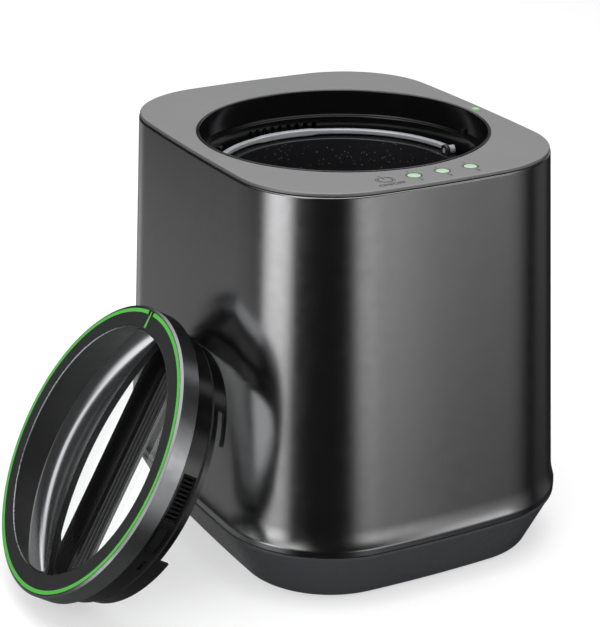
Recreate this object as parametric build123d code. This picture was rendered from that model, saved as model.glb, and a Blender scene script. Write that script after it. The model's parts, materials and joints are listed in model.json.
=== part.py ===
# Electric food waste composter: tapered rounded-square housing with a removable bucket, a geared mixing
# drive, a heated base plate, a fan and carbon filter drawer, and a loose twist lid leaning on its left side.
# Millimetres, +Z up, front is -Y. Everything is placed first with the housing's centre line at x = y = 0.
import math
import os

from build123d import *

# ---------------------------------------------------------------- driving dimensions
lipR = 112.8                           # outer radius of the bin's lip
mouthRim, frontStrip, rearStrip = 14.7, 36.7, 50.7   # panel beside, ahead of and behind the lip
topHalfW = lipR + mouthRim             # half width and half depth of the housing at the panel
topHalfD = lipR + (frontStrip + rearStrip) / 2
wellY = (frontStrip - rearStrip) / 2   # centre of the bin in Y
sideBow, frontBow = 2290.0, 970.0      # plan radii of the side faces and of the front and rear faces
cornerR = 76.0                         # plan radius of the corners at the panel
bodyH = 321.0                          # panel top above the floor
seamZ = 44.5                           # seam between shell and base
taper = 12.5                           # growth of the plan from panel to seam, each side
flareH, flareOut = 21.0, 2.0           # height and extra reach of the flared foot of the shell
seamGap = 0.6
wallT = 2.5                            # moulded wall thickness
panelT = 2.4
baseBottomZ, baseInset = 2.5, 6.2      # underside of the base and how far it is tucked in

neckR = lipR - 2.5                     # pocket that takes the lid collar
lipRise = 0.6                          # lip above the panel
pocketDeep = 20.0                      # panel top down to the sealing ledge
ledgeR = neckR - 4.3
neckLow = bodyH - 40.0                 # lower end of the neck ring
wellR, wellWall = ledgeR - 1.0, 2.5    # inner radius of the well
deckZ, deckT = 118.0, 4.0              # chassis deck

bucketTopZ = bodyH - 34.5
bucketRimR = wellR - 4.0
bucketR, bucketDraft = bucketRimR - 8.5, 4.5   # outer radius below the rim, and how much narrower the bottom is
bucketWall = 2.2
heaterR, heaterT = bucketR - 6.5, 8.0
bucketGap = 0.3                        # bucket bottom above the heater plate
bailPivotUp = 4.0                      # bail pivot above the bucket rim
bailR1, bailT = bucketRimR - 0.6, 4.0
bailR0 = bailR1 - 4.8
armReach = bucketR - 12.5              # tip of the stirring arms

lidR, lidBandH = lipR + 1.7, 15.3      # lid rim
collarR, collarDeep = neckR - 2.1, 33.0        # upper collar, down to the step
skirtR, skirtDeep = ledgeR - 2.0, 49.5         # lower collar with the bayonet slots
recessR, recessDeep = collarR - 11.2, 31.0     # grip recess
lidScrewR = recessR - 2.0
handleRise, handleHalfW = 25.0, 13.5
crossbarHalfW = 25.0
lidTilt, lidYaw, lidSpin = 57.5, -2.3, 7.2   # degrees: lean of the disc, yaw, and roll about its own axis
lidY = -37.7
lidGap = 0.5                           # lid to shell where it leans

gearModule = 1.25
teethMotor, teethIdlerBig, teethIdlerSmall, teethOut = 12, 48, 14, 56
idlerAngle, motorAngle = 150.0, 200.0  # directions of the gear centres, degrees
shaftR = 7.0
runClear = 0.05                        # radial clearance of running fits
freeClear = 0.3                        # gap between pieces that move past each other
pressTravel = 0.9                      # button travel
buttonR, buttonPitch, buttonX, buttonY = 5.0, 23.7, -2.05, 21.0 - topHalfD
powerR = 6.9                           # the power key is wider and carries a printed sign

ductHalfW, ductY0 = 35.0, wellY + wellR + wellWall + 1.1
ductY1 = ductY0 + 5.8
filterHalfW, filterZ0, filterZ1 = 46.0, deckZ + 16.0, bodyH - 51.0
filterY0, filterY1 = ductY1 + 4.6, topHalfD - 6.5
inletHalfW, inletHalfH, inletZ = 25.0, 14.0, 74.0
inletBack, inletFace, socketDeep = topHalfD - 16.5, topHalfD + taper + 0.4, 17.4
rearCut = (topHalfD - 40.0, topHalfD + 40.0)   # span of a cut that goes through the rear wall
boardY = 28.5 - topHalfD               # front edge of the power board


# ---------------------------------------------------------------- small helpers
def put(shape, x=0.0, y=0.0, z=0.0):
    return Pos(x, y, z) * shape


def box(x0, x1, y0, y1, z0, z1):
    return put(Box(x1 - x0, y1 - y0, z1 - z0), (x0 + x1) / 2, (y0 + y1) / 2, (z0 + z1) / 2)


def disc(r, z0, z1, x=0.0, y=0.0):
    return put(Cylinder(r, z1 - z0), x, y, (z0 + z1) / 2)


def ring(rOut, rIn, z0, z1, x=0.0, y=0.0):
    return disc(rOut, z0, z1, x, y) - disc(rIn, z0 - 1, z1 + 1, x, y)


def rodY(r, y0, y1, x, z):
    return put(Rot(90, 0, 0) * Cylinder(r, y1 - y0), x, (y0 + y1) / 2, z)


def rodX(r, x0, x1, y, z):
    return put(Rot(0, 90, 0) * Cylinder(r, x1 - x0), (x0 + x1) / 2, y, z)


# A block with rounded corners in the X-Z plane, along Y.
def plaqueY(halfW, z0, z1, r, y0, y1, x=0.0):
    sketch = RectangleRounded(2 * halfW, z1 - z0, r)
    solid = extrude(sketch, (y1 - y0) / 2, both=True)
    return put(Rot(90, 0, 0) * solid, x, (y0 + y1) / 2, (z0 + z1) / 2)


# A solid of revolution about Z from (radius, height) points.
def turned(points):
    wire = Polyline([(r, 0, z) for r, z in points], close=True)
    return revolve(make_face(wire), Axis.Z)


# A wedge of the plan between two angles in degrees, used to keep or cut a sector.
def sector(a0, a1, r, z0, z1, x=0.0, y=0.0):
    steps = max(2, int(abs(a1 - a0) / 15) + 1)
    reach = r / math.cos(math.radians((a1 - a0) / steps / 2))
    pts = [(0, 0)] + [
        (reach * math.cos(math.radians(a0 + (a1 - a0) * i / steps)),
         reach * math.sin(math.radians(a0 + (a1 - a0) * i / steps)))
        for i in range(steps + 1)
    ]
    return put(extrude(make_face(Polyline(pts, close=True)), z1 - z0), x, y, z0)


# ---------------------------------------------------------------- the housing's plan outline
# Four shallow arcs joined by four tangent corner arcs; growing it keeps every centre, so lofts are true offsets.
def outlineCentres():
    ax, by = topHalfW - sideBow, topHalfD - frontBow
    r0, r1 = sideBow - cornerR, frontBow - cornerR
    d = math.hypot(ax, by)
    along = (r0 * r0 - r1 * r1 + d * d) / (2 * d)
    off = math.sqrt(r0 * r0 - along * along)
    ux, uy = -ax / d, by / d
    px, py = ax + along * ux, along * uy
    options = [(px - off * uy, py + off * ux), (px + off * uy, py - off * ux)]
    return ax, by, max(options)


def outlineFace(grow, z):
    ax, by, (cx, cy) = outlineCentres()

    def toward(x, y, fx, fy, r):
        d = math.hypot(x - fx, y - fy)
        return fx + (x - fx) / d * r, fy + (y - fy) / d * r

    t1 = toward(cx, cy, ax, 0, sideBow + grow)
    t2 = toward(cx, cy, 0, by, frontBow + grow)
    m = toward(cx + (cx - ax) / sideBow + cx / frontBow, cy + cy / sideBow + (cy - by) / frontBow, cx, cy,
               cornerR + grow)
    w, d = topHalfW + grow, topHalfD + grow
    edges = []
    for sx, sy in ((1, 1), (-1, 1), (-1, -1), (1, -1)):
        edges.append([(sx * t1[0], sy * t1[1]), (sx * m[0], sy * m[1]), (sx * t2[0], sy * t2[1])])
    arcs = [ThreePointArc((t1[0], -t1[1]), (w, 0), t1), ThreePointArc(*edges[0]),
            ThreePointArc(t2, (0, d), (-t2[0], t2[1])), ThreePointArc(*reversed(edges[1])),
            ThreePointArc((-t1[0], t1[1]), (-w, 0), (-t1[0], -t1[1])), ThreePointArc(*edges[2]),
            ThreePointArc((-t2[0], -t2[1]), (0, -d), (t2[0], -t2[1])), ThreePointArc(*reversed(edges[3]))]
    return put(make_face(Wire(arcs)), 0, 0, z)


# Stacked sections (height, growth) joined by straight walls.
def stack(sections):
    return loft([outlineFace(g, z) for z, g in sections], ruled=True)


def growAt(z):
    return taper * (1 - (z - seamZ) / (bodyH - seamZ))


shellTop = bodyH - panelT - seamGap
shellFoot = seamZ + seamGap / 2
lipH = 5.0
flareTop = seamZ + flareH
flareG = taper + flareOut - 0.2


# Outer face of the shell as (height, growth); the foot curls outwards in four short steps.
def shellSections(inset=0.0, top=shellTop, foot=shellFoot):
    z1 = seamZ + lipH
    steps = [(foot, flareG - inset), (z1, flareG - inset)]
    for t in (0.22, 0.5, 1.0):
        z = z1 + (flareTop - z1) * t
        g = growAt(z) + (flareG - growAt(z1)) * (1 - t) ** 2.2
        steps.append((z, g - inset))
    return steps + [(top, growAt(top) - inset)]


def shellSolid(inset=0.0, top=shellTop, foot=shellFoot):
    return stack(shellSections(inset, top, foot))


# ---------------------------------------------------------------- housing: shell, panel, base
def makeShell():
    shell = shellSolid() - shellSolid(wallT, shellTop + 5, shellFoot - 5)
    shell -= plaqueY(filterHalfW, filterZ0, filterZ1, doorR, *rearCut)
    shell -= plaqueY(inletHalfW, inletZ - inletHalfH, inletZ + inletHalfH, 3, *rearCut)
    shell -= stack([(shellTop - 1.1, 3), (shellTop + 1, 3)]) - stack(
        [(shellTop - 1.2, growAt(shellTop)), (shellTop, growAt(shellTop) - 1.1),
         (shellTop + 1.1, growAt(shellTop) - 2)])
    return shell


def buttonXs():
    return [buttonX + buttonPitch * (i - 1.5) for i in range(4)]


ringR1, ringR0, inlayT = 6.2, 5.35, 0.4
markX = (lipR + topHalfW) / 2
panelZ = bodyH - panelT
lampY = buttonY + 9.4
lampR = 0.9
boardTop = bodyH - 15.4
bossXs = (-57.0, 57.0)
bossY = buttonY - 1.0
lidPinX, lidPinR = ledgeR + 2.6, 1.1


def makePanel():
    edge = 0.9
    plate = stack([(panelZ, -0.6), (bodyH - edge, -0.6), (bodyH, -0.6 - edge)])
    skirtTop = growAt(shellTop) - wallT - freeClear
    plate += stack([(panelZ - 6.0, skirtTop), (panelZ + 0.5, skirtTop)])
    plate -= stack([(panelZ - 7.0, skirtTop - 2.2), (panelZ, skirtTop - 2.2)])
    for x in bossXs:
        plate += disc(3.0, boardTop, panelZ + 0.5, x, bossY)
        plate -= disc(1.2, boardTop - 1, boardTop + 8, x, bossY)
    plate -= disc(lipR + 0.2, panelZ - 20, bodyH + 5, 0, wellY)
    xs = buttonXs()
    for i, x in enumerate(xs):
        plate -= disc((buttonR if i else powerR) + freeClear, panelZ - 1, bodyH + 1, x, buttonY)
        plate -= disc(lampR, panelZ - 1, bodyH + 1, x, lampY)
        if i:
            plate -= ring(ringR1, ringR0 - 1, bodyH - inlayT, bodyH + 1, x, buttonY)
    plate -= markSolid(bodyH - inlayT, bodyH + 1)
    return plate


def markSolid(z0, z1):
    return put(extrude(SlotOverall(6.4, 2.6), z1 - z0), markX, wellY, z0)


def makeRings():
    rings = [ring(ringR1, ringR0, bodyH - inlayT, bodyH + 0.05, x, buttonY) for x in buttonXs()[1:]]
    return Compound(children=rings)


def makeLamps():
    return Compound(children=[disc(lampR, boardTop + 2.6, bodyH + 0.02, x, lampY) for x in buttonXs()])


bossPts = [(sx * (topHalfW - 47.5), sy * (topHalfD - 51.5)) for sx in (-1, 1) for sy in (-1, 1)]
bossR, screwR, bossTop = 7.0, 2.0, 40.0
gearLegs = [(22.0, wellY - 34.0), (34.0, wellY + 19.0), (-32.0, wellY + 52.0)]
boardPts = [(x, boardY + dy) for dy in (4.0, 62.0) for x in (-26.0, 66.0)]
footPts = [(sx * (topHalfW - 43.5), sy * (topHalfD - 34.5)) for sx in (-1, 1) for sy in (-1, 1)]
footR, footSink = 10.0, 1.2
baseTop = seamZ - seamGap / 2


def baseSections(inset=0.0, bottom=baseBottomZ):
    lip = flareG - 0.4
    tuck = -baseInset
    return [(bottom, tuck - inset), (bottom + 1.2, tuck + 1.5 - inset), (baseTop - 3.2, lip - 0.8 - inset),
            (baseTop - 2.2, lip - inset), (baseTop, lip - inset)]


def makeBase():
    floorZ = baseBottomZ + wallT
    tray = stack(baseSections())
    tongueG = flareG - wallT - freeClear
    tray += stack([(baseTop - 1, tongueG), (baseTop + 4.2, tongueG)])
    lip = flareG - 0.4 - wallT
    tray -= stack([(floorZ, -baseInset - 1.0), (baseTop - 4, lip - 1.6), (baseTop - 2, lip - 1.9),
                   (baseTop + 6, lip - 1.9)])
    for x, y in bossPts:
        tray += disc(bossR, floorZ - 0.5, bossTop, x, y)
        tray -= disc(screwR + 0.3, 0, bossTop + 1, x, y) + disc(4.3, 0, 12, x, y)
    for x, y in gearLegs:
        tray += disc(7.5, floorZ - 0.5, 14, x, y) - disc(5.2, 9, 15, x, y)
    for x, y in boardPts:
        tray += disc(3.0, floorZ - 0.5, boardZ, x, y)
    for x, y in footPts:
        tray -= disc(footR + 0.1, 0, baseBottomZ + footSink, x, y)
    for i in range(7):
        tray -= box(-20, 26, 20 + 9 * i, 23.4 + 9 * i, 0, floorZ + 1)
    return tray


boardZ = 14.0


def makeFeet():
    feet = []
    for x, y in footPts:
        footTop = baseBottomZ + footSink
        pts = [(0, 0), (footR - 1.5, 0), (footR, 1.4), (footR, footTop), (0, footTop)]
        feet.append(put(turned(pts), x, y, 0))
    return Compound(children=feet)


def makeScrews():
    one = disc(screwR, 11.9, 58) + disc(3.6, 9.6, 12)
    return Compound(children=[put(one, x, y) for x, y in bossPts])


# ---------------------------------------------------------------- bin: neck ring, well, deck, heater
studAngles = [-50.0, 130.0]            # with the lid locked
lockTurn = 15.0
studR, studIn, studDrop = 2.4, 3.4, 8.0
ledgeZ = bodyH - pocketDeep
ledgeT = 2.5
neckWall = 1.3
lipTop = bodyH + lipRise


def makeNeck():
    flangeZ = panelZ - freeClear / 2
    pts = [(ledgeR, neckLow + freeClear), (ledgeR + neckWall, neckLow + freeClear),
           (ledgeR + neckWall, ledgeZ - ledgeT), (lipR, ledgeZ - ledgeT), (lipR, flangeZ - 2.4),
           (lipR + 4.5, flangeZ - 2.4), (lipR + 4.5, flangeZ), (lipR, flangeZ), (lipR, lipTop - 0.5),
           (lipR - 0.5, lipTop), (neckR + 0.7, lipTop), (neckR, lipTop - 0.7), (neckR, ledgeZ),
           (ledgeR, ledgeZ)]
    neck = put(turned(pts), 0, wellY, 0)
    for i in range(9):                      # vent window: upright slots at the rear
        a = 90 - 16 + 4.0 * i
        cut = Rot(0, 0, a) * box(ledgeR - 3, ledgeR + 5, -2.1, 2.1, ledgeZ - 15, ledgeZ - 4.5)
        neck -= put(cut, 0, wellY, 0)
    for a in studAngles:
        stud = Rot(0, 0, a) * rodX(studR, ledgeR - studIn, ledgeR + 0.6, 0, ledgeZ - studDrop)
        neck += put(stud, 0, wellY, 0)
    neck -= disc(lidPinR + freeClear, ledgeZ - 5, ledgeZ + 1, lidPinX, wellY)
    return neck


deckTop = deckZ + deckT


def makeWell():
    well = ring(wellR + wellWall, wellR, deckTop, neckLow, 0, wellY)
    well += ring(wellR + wellWall, heaterR + 2, deckTop, deckTop + 2.5, 0, wellY)
    return well


fanX, fanY, fanR, fanZ1 = 0.0, wellY + wellR, 38.0, deckZ - 8.0
fanZ0 = fanZ1 - 22.0
elbow = (15.0, 37.0, filterY1 - 22.0, filterY1)


def makeDeck():
    g = growAt(deckZ) - wallT - 1.2
    deck = stack([(deckZ, g), (deckTop, g)]) - disc(heaterR - 6, deckZ - 1, deckTop + 1, 0, wellY)
    deck += stack([(deckZ - 6, g), (deckZ + 0.5, g)]) - stack([(deckZ - 7, g - 2), (deckZ + 0.5, g - 2)])
    deck -= box(-ductHalfW - 0.4, ductHalfW + 0.4, ductY0 - 1.2, ductY1 + 0.4, deckZ - 1, deckTop + 1)
    deck -= box(elbow[0] - 0.4, elbow[1] + 0.4, elbow[2] - 0.4, elbow[3] + 0.4, deckZ - 7, deckTop + 1)
    deck -= box(-13, 13, ribbonY - 2.9, ribbonY + 4.1, deckZ - 1, deckTop + 1)
    for x, y in bossPts:
        deck += disc(bossR, bossTop, deckZ + 0.5, x, y)
        deck -= disc(screwR, bossTop - 1, 60, x, y)
    for sx in (-1, 1):                      # air holes beside the well
        for i in range(5):
            deck -= disc(3.0, deckZ - 1, deckTop + 1, sx * (growAt(deckZ) + topHalfW - 12), -40 + 20 * i)
    return deck


coilR, coilHalf = heaterR - 26.0, 1.9


def makeHeater():
    plate = disc(heaterR, deckTop, deckTop + heaterT, 0, wellY) - disc(17, deckZ, 200, 0, wellY)
    plate -= ring(coilR + 2, coilR - 2, deckTop - 1, deckTop + 2.2, 0, wellY)
    return plate


def makeCoil():
    z0, z1 = deckTop + 0.2 - coilHalf, deckTop + 0.2 + coilHalf
    coil = ring(coilR + coilHalf, coilR - coilHalf, z0, z1, 0, wellY)
    coil -= put(Rot(0, 0, -90) * box(coilR - 20, coilR + 20, -5, 5, z0 - 1, z1 + 1), 0, wellY, 0)
    for x in (-6.5, 6.5):
        y = wellY - math.sqrt(coilR ** 2 - x ** 2)
        half = coilHalf / 2
        coil += box(x - half, x + half, y - half, y + half, deckTop - 14, deckTop)
    return coil


# ---------------------------------------------------------------- drive: gears, shafts, gearbox, motor
def polar(r, a, x=0.0, y=0.0):
    return x + r * math.cos(math.radians(a)), y + r * math.sin(math.radians(a))


outC = (0.0, wellY)
idlerC = polar(gearModule * (teethOut + teethIdlerSmall) / 2, idlerAngle, *outC)
motorC = polar(gearModule * (teethMotor + teethIdlerBig) / 2, motorAngle, *idlerC)


# Straight-flanked teeth, a little thin so that a pair runs free; `lead` is where one tooth is centred.
def gear(teeth, z0, z1, lead, centre):
    pitchR, step = gearModule * teeth / 2, 360.0 / teeth
    rows = ((pitchR - 1.2 * gearModule, 0.27), (pitchR, 0.205), (pitchR + 0.8 * gearModule, 0.10))
    pts = []
    for i in range(teeth):
        a = lead + i * step
        pts += [polar(r, a - w * step) for r, w in rows] + [polar(r, a + w * step) for r, w in reversed(rows)]
    return put(extrude(make_face(Polyline(pts, close=True)), z1 - z0), centre[0], centre[1], z0)


caseZ0, caseT, coverZ, coverT = 62.0, 3.0, 94.0, 3.0
levelA, levelB = (67.0, 77.0), (80.0, 88.0)
bearingR = 13.0


def caseOutline(grow, z):
    circles = []
    for (x, y), r in ((outC, gearModule * teethOut / 2 + 6), (idlerC, gearModule * teethIdlerBig / 2 + 6),
                      (motorC, 15.0)):
        circles += (Pos(x, y) * Circle(r + grow)).edges()
    return put(make_face(make_hull(circles)), 0, 0, z)


def makeGearCase():
    case = extrude(caseOutline(0, caseZ0), coverZ - caseZ0)
    case -= extrude(caseOutline(-2.5, caseZ0 + caseT), coverZ)
    case += disc(16.5, caseZ0 - 6.5, caseZ0 + caseT, *outC)
    case -= disc(bearingR, caseZ0 - 4, caseZ0 + caseT + 1, *outC)
    case += disc(6.0, caseZ0, caseZ0 + caseT + 1, *idlerC)
    case -= disc(3.0, caseZ0 - 1, caseZ0 + caseT + 2, *idlerC)
    case -= disc(7.0, caseZ0 - 1, caseZ0 + caseT + 1, *motorC)
    for x, y in gearLegs:
        case += disc(5.0, 9, caseZ0 + 0.5, x, y)
    return case


def makeGearCover():
    cover = extrude(caseOutline(0, coverZ), coverT)
    cover += disc(17.0, coverZ, coverZ + 10, *outC)
    cover -= disc(bearingR, coverZ + 2, coverZ + 11, *outC)
    cover -= disc(9.0, coverZ - 1, coverZ + 3, *outC)
    cover -= disc(3.0, coverZ - 1, coverZ + 4, *idlerC)
    return cover


def makeBearings():
    low = ring(bearingR, shaftR + runClear, caseZ0 - 4, caseZ0 + 2, *outC)
    high = ring(bearingR, shaftR + runClear, coverZ + 2, coverZ + 9, *outC)
    return Compound(children=[low, high])


couplerZ = coverZ + 14.0
hexFlat, hexTop = 10.0, deckTop + heaterT + bucketGap + 6.2


def hexPrism(flat, z0, z1, x=0.0, y=0.0):
    return put(extrude(RegularPolygon(flat / 2, 6, major_radius=False), z1 - z0), x, y, z0)


def makeOutputShaft():
    return disc(shaftR, caseZ0 - 4 + freeClear, couplerZ, *outC)


def makeOutputGear():
    wheel = gear(teethOut, *levelA, idlerAngle, outC) + disc(11.0, levelA[0] - 2, levelA[1] + 6, *outC)
    wheel -= disc(shaftR, 0, 200, *outC)
    for i in range(6):
        x, y = polar(22.5, 60 * i + 30, *outC)
        wheel -= disc(6.0, 0, 200, x, y)
    return wheel


def makeCoupler():
    return disc(12.0, couplerZ, couplerZ + 8, *outC) + hexPrism(hexFlat, couplerZ + 7, hexTop, *outC)


def makeIdlerGear():
    step = 360.0 / teethIdlerSmall
    small = gear(teethIdlerSmall, levelA[0], levelB[0] + 1, idlerAngle + 180 + step / 2, idlerC)
    big = gear(teethIdlerBig, *levelB, motorAngle, idlerC)
    return small + big - disc(3.0 + runClear, 0, 200, *idlerC)


def makeIdlerPin():
    return disc(3.0, caseZ0, coverZ + coverT, *idlerC)


motorR, motorZ0 = 26.0, 9.0


def makeMotorPinion():
    step = 360.0 / teethMotor
    pinion = gear(teethMotor, levelB[0] - 1, levelB[1] + 1.5, motorAngle + 180 + step / 2, motorC)
    return pinion + disc(2.5, 40, levelB[1] + 1.5, *motorC)


def makeMotor():
    can = disc(motorR, motorZ0, caseZ0 - 0.02, *motorC) - disc(2.5 + runClear, 38, 100, *motorC)
    for z in (20, 50):
        can -= ring(motorR + 1, motorR - 0.8, z, z + 1.2, *motorC)
    return can + disc(8.0, motorZ0 - 3.5, motorZ0 + 1, *motorC)


# ---------------------------------------------------------------- bucket and agitator
bucketZ = deckTop + heaterT + bucketGap
bushingTop = bucketZ + 8.7
journalR = 9.0


def makeBucket():
    r1, r0, w = bucketR, bucketR - bucketDraft, bucketWall
    z1, rim = bucketTopZ, bucketRimR
    pts = [(0, bucketZ), (r0 - 1.5, bucketZ), (r0, bucketZ + 1.5), (r1, z1 - 2.2), (rim - 1.6, z1 - 2.2),
           (rim - 1.6, z1 - 5), (rim, z1 - 5), (rim, z1 - 0.6), (rim - 0.6, z1), (r1 - w + 0.4, z1),
           (r1 - w, z1 - 0.4), (r0 - w, bucketZ + 4.2), (r0 - w - 1.2, bucketZ + 3), (0, bucketZ + 3)]
    bucket = put(turned(pts), 0, wellY, 0)
    bucket += disc(bearingR + 2.6, bucketZ + 1, bushingTop, 0, wellY)
    bucket -= disc(bearingR, bucketZ - 1, bushingTop + 1, 0, wellY)
    pivotZ = z1 + bailPivotUp
    for sx in (-1, 1):
        x0 = rim - 9.6 if sx > 0 else -(rim - 6.2)
        ear = box(x0, x0 + 3.4, wellY - 4.6, wellY + 4.6, z1 - 1, pivotZ)
        ear += rodX(4.6, x0, x0 + 3.4, wellY, pivotZ)
        bucket += ear - rodX(2.0 + runClear, x0 - 1, x0 + 5, wellY, pivotZ)
    return bucket


breakAngles = (60.0, 180.0, 300.0)
breakZ = bucketZ + 35


def makeBreakers():
    teeth = []
    wallR = bucketR - bucketDraft * (bucketTopZ - breakZ) / (bucketTopZ - bucketZ) - bucketWall
    for a in breakAngles:
        blade = loft([Plane.YZ.offset(armReach - 22) * Rectangle(3, 8),
                      Plane.YZ.offset(wallR + 1.2) * Rectangle(6, 16)])
        beyond = ring(wallR + 9, wallR, breakZ - 20, breakZ + 40, 0, wellY)
        teeth.append(put(Rot(0, 0, a) * blade, 0, wellY, breakZ + 8) - beyond)
    return Compound(children=teeth)


def makeBushing():
    return ring(bearingR, journalR + runClear, bucketZ, bushingTop, 0, wellY)


def makeAgitator():
    z = bushingTop + freeClear
    pts = [(0, bucketZ - 1.2), (journalR, bucketZ - 1.2), (journalR, z), (17, z), (17, z + 10), (14, z + 17),
           (8, z + 30), (5, z + 36), (0, z + 37)]
    mixer = turned(pts)
    for a, up, tip in ((0, 2.0, 16.0), (120, 6.0, 0.0), (240, 0.6, 10.0)):
        arm = loft([Plane.YZ.offset(8) * Pos(0, 6) * Rectangle(13, 10),
                    Plane.YZ.offset(armReach) * Pos(0, 4) * Rectangle(7, 7)])
        if tip:
            arm += box(armReach - 10, armReach, -3.5, 3.5, 0.6, tip)
        mixer += Rot(0, 0, a) * put(arm, 0, 0, z + up)
    mixer -= hexPrism(hexFlat + 2 * freeClear, bucketZ - 2, hexTop + 1.5)
    return put(mixer, 0, wellY, 0)


def makeBail():
    pivotZ = bucketTopZ + bailPivotUp
    strap = ring(bailR1, bailR0, pivotZ - bailT / 2, pivotZ + bailT / 2)
    strap &= box(-200, 200, 0, 200, pivotZ - 10, pivotZ + 10)
    for sx in (-1, 1):
        lo, hi = (bailR0, bailR1) if sx > 0 else (-bailR1, -bailR0)
        strap += rodX(3.5, lo + 0.1, hi - 0.1, 0, pivotZ) & disc(bailR1, 0, 400)
        inner, outer = sorted((sx * (bucketRimR - 9.4), sx * (bailR0 + 1)))
        strap += rodX(2.0, inner, outer, 0, pivotZ)
    grip = sector(75, 105, 200, pivotZ - bailT / 2 - 0.6, pivotZ + bailT / 2 + 0.6) & ring(
        bailR1, bailR0 - 0.9, pivotZ - 10, pivotZ + 10)
    return put(strap + grip, 0, wellY, 0)


# ---------------------------------------------------------------- air path: duct, blower, filter bay and drawer
ductWall = 1.2


def makeDuct():
    z0, z1 = fanZ1 + 0.3, ledgeZ - 2.7
    hood = box(-ductHalfW, ductHalfW, ductY0 - 16, ductY1, ledgeZ - 17, z1)
    duct = box(-ductHalfW, ductHalfW, ductY0, ductY1, deckZ - 1, z1) + hood
    duct += box(-24, 24, fanY - 18, ductY1, z0, deckZ - 0.5)
    w = ductWall
    duct -= box(-ductHalfW + w, ductHalfW - w, ductY0 + w, ductY1 - w, z0 + w, z1 - w) & (
        box(-24 + w, 24 - w, 0, 200, 0, deckZ) + box(-200, 200, 0, 200, deckZ - 0.5, 400))
    duct -= box(-24 + w, 24 - w, fanY - 18 + w, ductY1 - w, z0 + w, deckZ - 0.5 - w)
    duct -= box(-ductHalfW + w, ductHalfW - w, ductY0 - 20, ductY1 - w, ledgeZ - 17 + w, z1 - w)
    duct -= disc(16, z0 - 1, z0 + 3, fanX, fanY)
    return duct - disc(ledgeR + neckWall + freeClear, 0, 400, 0, wellY)


bayWall = 1.8
bayX, bayZ0, bayZ1 = filterHalfW + 0.5, filterZ0 - 0.5, filterZ1 + 0.5


def makeBlower():
    x0, x1, y0, y1 = elbow
    w = 1.5
    outer = disc(fanR, fanZ0, fanZ1, fanX, fanY) + box(x0 - 5, x1, fanY, y1, fanZ0, fanZ1)
    outer += box(x0, x1, y0, y1, fanZ1 - 1, bayZ0 - bayWall)
    inner = disc(fanR - w, fanZ0 + w, fanZ1 - w, fanX, fanY)
    inner += box(x0 - 5 + w, x1 - w, fanY, y1 - w, fanZ0 + w, fanZ1 - w)
    inner += box(x0 + w, x1 - w, y0 + w, y1 - w, fanZ1 - 3, bayZ0)
    blower = outer - inner
    blower -= disc(16, fanZ1 - 3, fanZ1 + 1, fanX, fanY) + disc(2.6, fanZ0 - 1, fanZ0 + 3, fanX, fanY)
    for dx, dy in ((-9, -9), (-9, 9), (9, -9)):
        blower += disc(3.0, fanZ0 - 18, fanZ0 + 0.5, fanX + 2.6 * dx, fanY + 2.6 * dy)
    return blower


def makeImpeller():
    wheel = disc(9.0, fanZ0 + 3, fanZ1 - 6, fanX, fanY) + disc(31.0, fanZ0 + 3, fanZ0 + 4.4, fanX, fanY)
    blade = Pos(24.2, 0, 0) * Rot(0, 0, 28) * box(-7.5, 7.5, -0.6, 0.6, fanZ0 + 4, fanZ1 - 4)
    for i in range(12):
        wheel += put(Rot(0, 0, 30 * i) * blade, fanX, fanY)
    return wheel + disc(1.5, fanZ0 - 9, fanZ0 + 4, fanX, fanY)


def makeFanMotor():
    can = disc(14.0, fanZ0 - 15, fanZ0, fanX, fanY)
    return can - disc(1.5 + runClear, fanZ0 - 10, fanZ0 + 1, fanX, fanY)


def makeFilterBay():
    t = bayWall
    bay = box(-bayX - t, bayX + t, filterY0 - 3, rearCut[1], bayZ0 - t, bayZ1 + t)
    bay -= box(-bayX, bayX, filterY0 - 3 + t, rearCut[1] + 1, bayZ0, bayZ1)
    bay &= shellSolid(wallT + 0.2)
    return bay - box(elbow[0] + 1.5, elbow[1] - 1.5, elbow[2] + 1.5, elbow[3] - 1.5, bayZ0 - 5, bayZ0 + 1)


coverGap = 0.4
louvreHalfW, louvreH, louvrePitch = 30.0, 4.6, 13.0
doorR = 10.0                           # corner radius of the filter door and its opening


def makeFilterCover():
    inset = plaqueY(filterHalfW - coverGap, filterZ0 + coverGap, filterZ1 - coverGap,
                    doorR - coverGap, *rearCut)
    cover = (shellSolid() - shellSolid(wallT, shellTop + 5, shellFoot - 5)) & inset
    z = filterZ0 + 24
    while z < filterZ1 - 34:                # louvres
        cover -= box(-louvreHalfW, louvreHalfW, *rearCut, z, z + louvreH)
        z += louvrePitch
    cover -= plaqueY(15, filterZ1 - 17, filterZ1 - 8, 4.4, *rearCut)
    for x in (-36, 36):
        for z in (filterZ0 + 12, filterZ1 - 12):
            cover += rodY(3.0, filterY1, topHalfD + growAt(z) - wallT + 0.4, x, z)
    return cover


cartX, cartZ0, cartZ1, cartWall = filterHalfW - 0.8, filterZ0 + 0.6, filterZ1 - 0.6, 1.6


def makeCartridge():
    t = cartWall
    r = doorR - (filterHalfW - cartX)
    frame = plaqueY(cartX, cartZ0, cartZ1, r, filterY0, filterY1)
    frame -= plaqueY(cartX - t, cartZ0 + t, cartZ1 - t, r - t, filterY0 + t, filterY1 - t)
    nx, nz = 3, 4
    dx, dz = (2 * cartX - 10) / nx, (cartZ1 - cartZ0 - 10) / nz
    for i in range(nx):
        for j in range(nz):
            x, z = -cartX + 5 + dx * i, cartZ0 + 5 + dz * j
            frame -= box(x + 2, x + dx - 2, filterY0 - 1, filterY1 + 1, z + 2, z + dz - 2)
    mouth = box(elbow[0] + 2, elbow[1] - 2, elbow[2] + 2, elbow[3] - 4, cartZ0 - 1, cartZ0 + t + 0.01)
    return frame - mouth


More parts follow.
